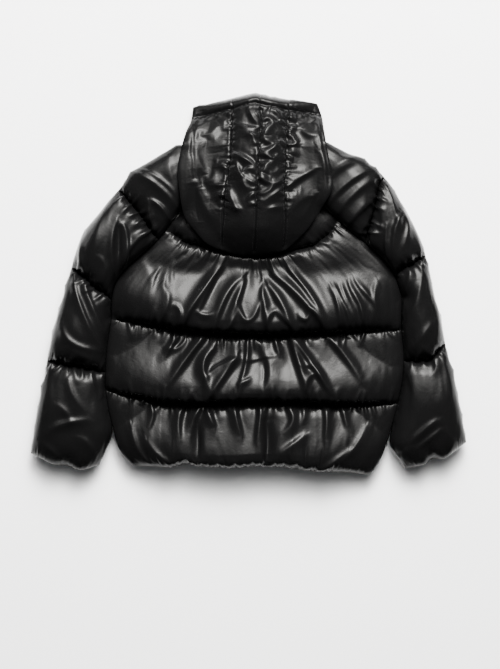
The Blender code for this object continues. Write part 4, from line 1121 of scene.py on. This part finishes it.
class HeightMap:
    """Highest points of the body under the hood, on an even grid."""

    def __init__(self, grids):
        trees = [BVHTree.FromPolygons(grid.reshape(-1, 3).tolist(),
                                      grid_faces(*grid.shape[:2])) for grid in grids]
        down = Vector((0.0, 0.0, -1.0))
        tops = np.full(MAP_CELLS, LINING_LEVEL)
        for i, j in np.ndindex(MAP_CELLS):
            start = Vector((MAP_LOW[0] + i * MAP_STEP, MAP_LOW[1] + j * MAP_STEP, 1.0))
            for tree in trees:
                hit = tree.ray_cast(start, down)[0]
                if hit is not None:
                    tops[i, j] = max(tops[i, j], hit.z)
        reach = round(REACH / MAP_STEP)
        wide = np.pad(tops, reach, mode="edge")
        spread = [wide[reach + a:reach + a + MAP_CELLS[0], reach + b:reach + b + MAP_CELLS[1]]
                  for a in range(-reach, reach + 1) for b in range(-reach, reach + 1)
                  if a * a + b * b <= reach * reach + 1]
        self.tops = np.max(spread, axis=0)
        for _ in range(MAP_SMOOTHING):
            self.tops = 0.5 * (self.tops + around(np.pad(self.tops, 1, mode="edge")))

    def at(self, x, y):
        """Height at each place, between the grid's own points."""
        u = np.clip((x - MAP_LOW[0]) / MAP_STEP, 0.0, MAP_CELLS[0] - 1.001)
        v = np.clip((y - MAP_LOW[1]) / MAP_STEP, 0.0, MAP_CELLS[1] - 1.001)
        i, j = np.floor(u).astype(int), np.floor(v).astype(int)
        u, v = u - i, v - j
        low = self.tops[i, j] * (1 - u) + self.tops[i + 1, j] * u
        high = self.tops[i, j + 1] * (1 - u) + self.tops[i + 1, j + 1] * u
        return low * (1 - v) + high * v


class HoodLevels:
    """Heights of the hood's layers, worked out from what lies under them."""

    def __init__(self, pattern, supports):
        self.pattern = pattern
        self.map = HeightMap(supports)

    def body(self, points):
        """The highest point of the body near each grid point, a slit higher."""
        y = np.minimum(points[..., 1], NAPE_TOP)
        return self.map.at(points[..., 0], y) + SLIT

    def under(self, points):
        """Bottom and top of the hood's lower layer: chin on the plane, nape on the back."""
        x, y = np.moveaxis(points, -1, 0)
        body = self.body(points)
        walls = np.array(CHIN_WALLS) * MM
        chin = np.interp(y, walls[:, 0], walls[:, 1])
        climb = ease((STEP_START - y) / (STEP_START - STEP_END))
        beside = ease((np.abs(x - CENTRE_X) - NECK_HALF) / NECK_FADE)
        step = ease((SHOULDER_START - y) / (SHOULDER_START - SHOULDER_END)) * beside
        step = np.where(y <= NECK_STEP, 1.0, step)
        bottom = body * step
        top = chin * (1 - climb) + (body + NAPE_WALL) * climb
        return bottom, np.maximum(top, bottom + NAPE_WALL)

    def fold(self, points):
        """Level of the hood's edge, half way between its lower layer and its hollow."""
        return self.under(points)[1] + HOOD_SLIT / 2

    def hollow(self, points):
        """Underside of the crown, clear of the layer under it."""
        shifts = [(0.0, 0.0), (0.0, -HOOD_CLEAR), (HOOD_CLEAR, 0.0), (-HOOD_CLEAR, 0.0)]
        tops = [self.under(points + np.array(shift))[1] for shift in shifts]
        return np.max(tops, axis=0) + HOOD_SLIT

    def crown(self, points, edge, rim):
        """Top of the crown: a ridge that falls away to its sides, and a swelling casing."""
        fold = self.fold(points)
        hollow = self.hollow(points)
        levels = smooth_path(CROWN_LEVELS)
        crest = np.interp(points[..., 1], levels[:, 0], levels[:, 1])
        beside = np.hypot(points[..., 0] - CROWN_X, CROWN_RIDGE) - CROWN_RIDGE
        crest = crest - CROWN_FALL * beside
        swell = np.maximum(crest - hollow - HOOD_WALL, CROWN_LEAST) * roll(rim, RIM_ROUND)
        full = hollow - fold + HOOD_WALL + swell
        dome = fold + full * roll(edge, HOOD_ROUND)
        inside = dome[1:-1, 1:-1]
        share = np.clip(edge[1:-1, 1:-1] / CROWN_KEPT, 0.0, 1.0)
        for _ in range(CROWN_SMOOTHING):
            inside += share * (around(dome) - inside)
        casing = np.clip(rim / CASING_DEPTH, 0.0, 1.0) ** CASING_SKEW
        return dome + CASING_SWELL * np.sin(math.pi * casing)

    def dips(self, points, seam, edge, rim):
        """How deep the crown dips at its seams, its quilting and its casing."""
        start = ease(SEAM_DIP_SHARE + (rim - SEAM_DIP_RIM) / SEAM_DIP_FADE)
        dip = SEAM_DIP * ridge(seam, SEAM_DIP_WIDTH) * start
        fade = (ease((rim - QUILT_RIM[0]) / QUILT_RIM[1])
                * ease((points[..., 1] - QUILT_HEIGHT[0]) / QUILT_HEIGHT[1]))
        quilt = ridge(distance(points, *self.pattern.hood_side_lines), QUILT_WIDTH)
        dip = np.maximum(dip, fade * QUILT_DIP * quilt)
        dip = np.maximum(dip, SEAM_DIP * ridge(rim - CASING_DEPTH, CASING_LINE))
        return dip * ease(edge / DIP_EASE)

    def bottom(self, points):
        """Underside of the lower layer, rounding up to the fold at the hood's edge."""
        edge = distance(points, self.pattern.hood_outline)
        low, top = self.under(points)
        fold = top + HOOD_SLIT / 2
        return fold - (fold - low) * roll(edge, HOOD_UNDER_ROUND)

    def inner(self, core, outer):
        """The crown's inner grid, clear of its outer one, its last points left to the fold."""
        return raised(core, np.minimum(self.hollow(core), outer[..., 2] - EDGE_WALL))


def rows_down(path, fractions):
    """Points of a path that runs down the hood, at fractions of its height."""
    return at_height(path, path[0, 1] + fractions * (path[-1, 1] - path[0, 1]))


def panel_grid(pattern, left, right, down, across):
    """A grid between two seams or edges of the hood, down from its rim."""
    low = along(cut(pattern.hood_rim, left[0, 0], right[0, 0], axis=0), across)
    high = along(cut(pattern.hood_bottom, left[-1, 0], right[-1, 0], axis=0), across)
    return patch(low, high, rows_down(left, down), rows_down(right, down), across, down)


def crown_grid(pattern, down, across):
    """The crown's four panels side by side, their seams shared."""
    paths = [pattern.hood_edge[0], *pattern.hood_seams, pattern.hood_edge[1]]
    grids = [panel_grid(pattern, left, right, down, across)
             for left, right in zip(paths, paths[1:])]
    return np.concatenate([grids[0], *[grid[:, 1:] for grid in grids[1:]]], axis=1)


def hood_slack(points, seam, lively, middle, rng):
    """The hood's spare cloth: across its seams, and both ways in its middle."""
    patches = patchy(rng, seam.shape, *HOOD_PATCHES)
    amount = HOOD_SPARE * ridge(seam, HOOD_SPARE_REACH) * lively
    slack = slack_along(np.broadcast_to([1.0, 0.0], points.shape), amount)
    spare = CENTRE_SPARE * middle * lively * patches + HOOD_EVEN_SPARE
    return slack + spare[..., None] * BOTH_WAYS


def hood_freedom(seam, edge, rim, middle):
    """How freely each point of the crown moves, from 0 to 1."""
    free = ease(seam / SEAM_EASE)
    for away, (least, reach) in ((edge, EDGE_FREE), (rim, RIM_FREE)):
        free = free * (least + (1.0 - least) * ease(away / reach))
    free *= SIDE_FREE + (1.0 - SIDE_FREE) * middle
    free[:, 0] = free[:, -1] = 0.0
    return free


def crumpled_crown(pattern, levels, points, rng):
    """The outer grid of the whole crown, with its folds and gathers, crumpled."""
    seam = distance(points, *pattern.hood_seams)
    edge = distance(points, pattern.hood_outline)
    rim = distance(points, pattern.hood_rim)
    dome = levels.crown(points, edge, rim)
    base = raised(points, dome - levels.dips(points, seam, edge, rim))
    casing = pattern.hood_rim - np.array([0.0, CASING_DEPTH])
    rows = [(pattern.hood_seams[k], *row, HOOD_STRENGTH) for k, *row in HOOD_GATHERS]
    rows += [(casing, *row) for row in CASING_GATHERS]
    crease = gathered(folds(points, HOOD_FOLDS), points, rng, rows)
    base += normals(base) * (crease * ease(edge / EDGE_EASE) * ease(rim / RIM_EASE))[..., None]
    x, y = np.moveaxis(points, -1, 0)
    lively = (ease((CRUMPLE_TOP[0] - y) / CRUMPLE_TOP[1])
              * ease((y - CRUMPLE_END[0]) / CRUMPLE_END[1]))
    middle = ease((MIDDLE_HALF - np.abs(x - CROWN_X)) / MIDDLE_FADE)
    slack = hood_slack(points, seam, lively, middle, rng)
    free = hood_freedom(seam, edge, rim, middle)
    return crumple(base, slack, free, rng, HOOD_CAP, base[..., 2] - HOOD_SINK)


def hood_pieces(pattern, supports, rng, material):
    """The hood: its crown is crumpled as one, then parted at its seams."""
    levels = HoodLevels(pattern, supports)
    down = crowded(*HOOD_DOWN)
    across = np.linspace(0.0, 1.0, HOOD_CELLS + 1)
    points = crown_grid(pattern, down, across)
    outer = crumpled_crown(pattern, levels, points, rng)
    middle_seam = pattern.hood_seams[1]
    length = (middle_seam[0] - middle_seam[-1])[1]
    core = crown_grid(pattern, down * (1.0 - HOOD_CORE / length), across)
    panels = [np.s_[:, k * HOOD_CELLS:(k + 1) * HOOD_CELLS + 1] for k in range(4)]
    hood_side(0, pattern, levels, outer[panels[0]], points[panels[0]], down, across, material)
    for side, panel in enumerate(panels[1:3]):
        hood_centre(side, pattern, levels, outer[panel], core[panel], across, material)
    hood_side(1, pattern, levels, outer[panels[3]], points[panels[3]], down, across, material)
    return outer


def hood_side(side, pattern, levels, outer, points, down, across, material):
    """A side of the hood: crown, folded edge, and the chin and nape parts below it."""
    seam = (pattern.hood_seams[0], pattern.hood_seams[2])[side]
    neck_x, neck_y = pattern.outer[side][0]
    if side == 0:
        outer, points = outer[:, ::-1], points[:, ::-1]
    core = drawn_in(inset(points), across, HOOD_CORE)
    inner = levels.inner(core, outer)
    inner[:, -1, 2] = levels.fold(core[:, -1])

    # The lower layer's rows run in to the garment's middle at the chin, to the neck's end
    # beside the neck, and to the seam at the nape.
    edge_rows = rows_down(pattern.hood_edge[side], down)
    inner_rows = at_height(seam, edge_rows[:, 1])
    turn = np.interp(edge_rows[:, 1], [neck_y - NECK_TURN, neck_y, neck_y + NECK_TURN],
                     [0.0, 1.0, 2.0])
    below = inner_rows[:, 0] + turn * (neck_x - inner_rows[:, 0])
    above = neck_x + (turn - 1.0) * (CENTRE_X - neck_x)
    inner_rows[:, 0] = np.where(turn <= 1.0, below, above)
    under = crowded(*HOOD_SIDE_UNDER)
    drawn = inset(inner_rows[:, None] + under[None, :, None] * (edge_rows - inner_rows)[:, None])
    core = drawn_in(drawn, under, HOOD_CORE)
    low_outer = raised(drawn, levels.bottom(drawn))[:, -2::-1]
    low_inner = raised(core, levels.under(core)[1])[:, -2::-1]
    piece = two_skins("hood_side_" + SIDES[side], np.concatenate([outer, low_outer], axis=1),
                      np.concatenate([inner, low_inner], axis=1), material)


def hood_centre(side, pattern, levels, outer, core, across, material):
    """A middle panel of the hood: from the rim over the crown and back to the neck."""
    left, right = pattern.hood_seams[side:side + 2]
    length = left[0, 1] - left[-1, 1]
    core = inset(core)
    inner = levels.inner(core, outer)
    inner[-1, :, 2] = levels.fold(core[-1])
    nape_end = (left[0, 1] - NECK_NAPE) / length
    back = 1.0 - crowded(*NAPE_DOWN)[1:] * (1.0 - nape_end)
    drawn = inset(panel_grid(pattern, left, right, back, across))
    back = nape_end + (back - nape_end) * (1.0 - HOOD_CORE / length)
    core = inset(panel_grid(pattern, left, right, back, across))
    low_outer = raised(drawn, levels.bottom(drawn))
    low_inner = raised(core, levels.under(core)[1])
    piece = two_skins("hood_centre_" + SIDES[side], np.concatenate([outer, low_outer]),
                      np.concatenate([inner, low_inner]), material)


# ---------------------------------------------------------------- sewing and zip

STITCH_PITCH = 0.0034
STITCH_LENGTH = 0.0024
STITCH_WIDTH = 0.0006
STITCH_SIDE = 3             # cells between a hood seam and the stitching beside it
STITCH_ENDS = 6             # cells without stitching at a hood seam's ends
STITCH_FOLD = 4             # cells without stitching beside a fold at an edge
CASING_STEP = 4             # cells between the points that the casing's stitching follows
# A stitch about its middle: two ends sunk in the cloth and four corners round its waist.
# Shares along the line, across it and up, in the measures above.
STITCH_SHAPE = [(-0.5, 0.0, -0.4), (0.5, 0.0, -0.4), (0.0, -0.5, 0.0), (0.0, 0.5, 0.0),
                (0.0, 0.0, 0.6), (0.0, 0.0, -0.5)]
STITCH_FACES = [(0, 2, 4), (2, 1, 4), (1, 3, 4), (3, 0, 4), (2, 0, 5), (1, 2, 5), (3, 1, 5),
                (0, 3, 5)]
TAPE_LEVEL = 0.0021         # underside of the zip's tapes; the teeth stand below it
TAPE_GAP = 0.0002
ZIP_HALF_WIDTH = 0.0116
ZIP_THICKNESS = 0.0041
TOOTH_PITCH = 0.0029
TOOTH_START = (0.75, 1.25)  # first tooth of each tape, in pitches from the tape's end
# A tooth of the left tape seen from below, from its foot on the tape to its head, which
# reaches between two teeth of the right tape.
TOOTH = [(-0.0031, -0.0008), (-0.0008, -0.0006), (0.0, -0.0008), (0.0010, -0.0005),
         (0.0010, 0.0005), (0.0, 0.0008), (-0.0008, 0.0006), (-0.0031, 0.0008)]


def stitched_paths(back, sleeves, hood):
    """The lines of thread: on the quilting, beside the hood's seams and round its casing."""
    paths = [back[row] for row in line_rows(CHANNEL_CELLS)[1:4]]
    for sleeve in sleeves:
        paths += [sleeve[row, :-STITCH_FOLD] for row in line_rows(SLEEVE_CHANNEL_CELLS)[1:4]]
    for seam in (1, 2, 3):
        for away in (-STITCH_SIDE, STITCH_SIDE):
            paths.append(hood[STITCH_ENDS:-STITCH_ENDS, seam * HOOD_CELLS + away])
    depth = np.cumsum(lengths(np.diff(hood, axis=0)), axis=0)
    columns = np.arange(hood.shape[1])[STITCH_FOLD:-STITCH_FOLD:CASING_STEP]
    paths.append(hood[(depth < CASING_DEPTH).sum(axis=0)[columns], columns])
    return paths


def stitches(path):
    """The corners of each stitch along a path."""
    place = np.concatenate([[0.0], np.cumsum(lengths(np.diff(path, axis=0)))])
    at = np.arange(STITCH_PITCH, place[-1] - STITCH_PITCH, STITCH_PITCH)
    start, end = [read_off(path, place, at + shift)
                  for shift in (-STITCH_LENGTH / 2, STITCH_LENGTH / 2)]
    forward = end - start
    sideways = np.cross([0.0, 0.0, 1.0], forward)
    sideways *= STITCH_WIDTH / lengths(sideways)[:, None]
    upward = np.cross(forward, sideways)
    upward *= STITCH_WIDTH / lengths(upward)[:, None]
    middle = 0.5 * (start + end)
    return np.stack([middle + a * forward + b * sideways + c * upward
                     for a, b, c in STITCH_SHAPE], axis=1)


def stitching(back, sleeves, hood, material):
    """The thread that shows on the quilting lines, the hood's seams and its casing."""
    spots = np.concatenate([stitches(path) for path in stitched_paths(back, sleeves, hood)])
    first = len(STITCH_SHAPE) * np.arange(len(spots))
    faces = np.array(STITCH_FACES)[None] + first[:, None, None]
    add_mesh("stitching", spots.reshape(-1, 3), faces.reshape(-1, 3).tolist(), material,
             [])


def prism(points, faces, outline, low, high):
    """Adds an upright prism over an outline to lists of points and faces."""
    count = len(outline)
    ring = [len(points) + k for k in range(count)]
    points.extend([(x, y, z) for z in (low, high) for x, y in outline])
    faces.append(ring[::-1])
    faces.append([k + count for k in ring])
    for here, following in zip(ring, ring[1:] + ring[:1]):
        faces.append([here, following, following + count, here + count])


def zip_chain(material):
    """The closed zip seen from below: two tapes and two rows of teeth between each other."""
    points = []
    faces = []
    for sign, start in zip((-1, 1), TOOTH_START):
        near, far = sorted((CENTRE_X + sign * TAPE_GAP, CENTRE_X + sign * ZIP_HALF_WIDTH))
        tape = [(near, ZIP_BOTTOM), (far, ZIP_BOTTOM), (far, ZIP_TOP), (near, ZIP_TOP)]
        prism(points, faces, tape, TAPE_LEVEL, ZIP_THICKNESS)
        first = ZIP_BOTTOM + TOOTH_PITCH * start
        for y in np.arange(first, ZIP_TOP - TOOTH_PITCH / 2, TOOTH_PITCH):
            tooth = [(CENTRE_X - sign * a, y + b) for a, b in TOOTH][::-sign]
            prism(points, faces, tooth, 0.0, TAPE_LEVEL + SLIT)
    add_mesh("zip_chain", np.array(points), faces, material, ["zip"])


# ---------------------------------------------------------------- materials


def set_inputs(node, values):
    """Sets inputs of a node by their names."""
    for name, value in values.items():
        node.inputs[name].default_value = value


def new_material(name, values):
    """A node material with some inputs of its shader set."""
    material = bpy.data.materials.new(name)
    material.use_nodes = True
    set_inputs(material.node_tree.nodes["Principled BSDF"], values)
    return material


def link_inputs(material, node, sockets):
    """Links sockets to inputs of a node, by the inputs' names."""
    for name, socket in sockets.items():
        material.node_tree.links.new(socket, node.inputs[name])


def add_node(material, kind, values, sockets):
    """Adds a node with some inputs set and others linked, and returns its outputs."""
    node = material.node_tree.nodes.new(kind)
    set_inputs(node, values)
    link_inputs(material, node, sockets)
    return node.outputs


def noise(material, values):
    """Noise over the garment; its scale is in waves a metre."""
    place = add_node(material, "ShaderNodeTexCoord", {}, {})["Object"]
    return add_node(material, "ShaderNodeTexNoise", values, {"Vector": place})["Fac"]


def bump(material, strength, depth, **sockets):
    """Relief of a depth in metres, from a Height and over an earlier Normal if given."""
    values = {"Strength": strength, "Distance": depth}
    return add_node(material, "ShaderNodeBump", values, sockets)["Normal"]


def shell_material():
    """Coated black nylon: glossy, finely crinkled, a little uneven in its gloss."""
    material = new_material("coated_nylon", {
        "Base Color": (0.0022, 0.0022, 0.0023, 1.0), "IOR": 1.085, "Coat Weight": 1.0,
        "Coat IOR": 1.145, "Coat Roughness": 0.15})
    gloss = noise(material, {"Scale": 22.0, "Detail": 4.0})
    crinkle = noise(material, {"Scale": 110.0, "Detail": 3.0, "Distortion": 0.8})
    weave = noise(material, {"Scale": 900.0, "Detail": 1.0})
    rough = add_node(material, "ShaderNodeMapRange", {"To Min": 0.34, "To Max": 0.46},
                     {"Value": gloss})["Result"]
    coarse = bump(material, strength=0.15, depth=0.0016, Height=crinkle)
    fine = bump(material, strength=0.12, depth=0.0002, Height=weave, Normal=coarse)
    link_inputs(material, material.node_tree.nodes["Principled BSDF"],
                {"Roughness": rough, "Normal": fine, "Coat Normal": fine})
    return material


def plain_material(name, colour, roughness, metallic=0.0):
    """A plain material with a fine grain in its relief."""
    material = new_material(name, {"Base Color": (*colour, 1.0), "Roughness": roughness,
                                   "Metallic": metallic})
    grain = noise(material, {"Scale": 400.0})
    relief = bump(material, strength=0.3, depth=0.0001, Height=grain)
    link_inputs(material, material.node_tree.nodes["Principled BSDF"], {"Normal": relief})
    return material


# ---------------------------------------------------------------- stage

CAMERA_HEIGHT = 5.0
VIEW_HEIGHT = 1.338         # metres of floor that the picture's height shows
VIEW_X = 0.0035
VIEW_Y = -0.1007
SENSOR = 36.0
FLOOR_SIZE = 14.0
FLOOR_LEVEL = -0.0005
WORLD_STRENGTH = 0.10
WARM = (1.0, 0.985, 0.955)

LAMP_REACH = 4.0            # distance of every light from the jacket
# Round soft lights, each a small one inside a large one, so that they fade outwards: height
# over the floor and turn from +Y, half their width seen from the jacket, and radiance.
LAMPS = [(46, 8, 6.0, 72.0), (46, 8, 10.0, 48.0), (46, 8, 15.0, 28.5), (46, 7, 20.0, 12.0),
         (46, 7, 25.0, 6.4), (47, 5, 30.0, 4.0), (49, 2, 37.0, 1.8)]


def lamp(height, turn, half_width, radiance):
    """A round softbox that shines on the jacket; its angles are in degrees."""
    data = bpy.data.lights.new("softbox", "AREA")
    data.shape = "DISK"
    data.size = 2 * LAMP_REACH * math.tan(math.radians(half_width))
    data.energy = radiance * math.pi * math.pi * data.size ** 2 / 4
    data.color = WARM
    light = bpy.data.objects.new(data.name, data)
    up, side = math.radians(height), math.radians(turn)
    place = Vector((math.cos(up) * math.sin(side), math.cos(up) * math.cos(side), math.sin(up)))
    light.location = place * LAMP_REACH
    light.rotation_euler = place.to_track_quat("Z", "Y").to_euler()
    bpy.context.scene.collection.objects.link(light)


def pale_floor():
    """The floor that the jacket lies on."""
    bpy.ops.mesh.primitive_plane_add(size=FLOOR_SIZE, location=(0.0, 0.0, FLOOR_LEVEL))
    floor = bpy.context.object
    floor.name = "floor"
    floor.data.materials.append(new_material("paper", {
        "Base Color": (0.92, 0.93, 0.95, 1.0), "Roughness": 0.9, "Specular IOR Level": 0.1}))


def camera():
    """The camera, which looks straight down."""
    data = bpy.data.cameras.new("camera")
    data.sensor_width = SENSOR
    data.lens = SENSOR * CAMERA_HEIGHT / VIEW_HEIGHT
    item = bpy.data.objects.new("camera", data)
    item.location = (VIEW_X, VIEW_Y, CAMERA_HEIGHT)
    bpy.context.scene.collection.objects.link(item)
    bpy.context.scene.camera = item


def stage():
    """The floor, the lights and the camera."""
    pale_floor()
    for row in LAMPS:
        lamp(*row)
    world = bpy.data.worlds.new("studio")
    world.use_nodes = True
    set_inputs(world.node_tree.nodes["Background"],
               {"Color": (1.0, 1.0, 1.0, 1.0), "Strength": WORLD_STRENGTH})
    bpy.context.scene.world = world
    camera()


def main():
    """Builds every piece, then the stage."""
    pattern = Pattern()
    rng = np.random.default_rng(SEED)
    shell = shell_material()
    back = back_piece(pattern, rng, shell)
    sleeves = []
    for side in (0, 1):
        front_piece(side, pattern, shell)
        sleeves.append(sleeve_piece(side, pattern, rng, shell))
    hood = hood_pieces(pattern, [back, *sleeves], rng, shell)
    thread = plain_material("thread", (0.010, 0.010, 0.011), roughness=0.6)
    stitching(back, sleeves, hood, thread)
    zip_chain(plain_material("zip_tape", (0.012, 0.012, 0.013), roughness=0.7))
    metal = plain_material("slider_metal", (0.02, 0.02, 0.022), roughness=0.35, metallic=0.8)
    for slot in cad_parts["zip_slider"].material_slots:
        slot.material = metal
    stage()


main()
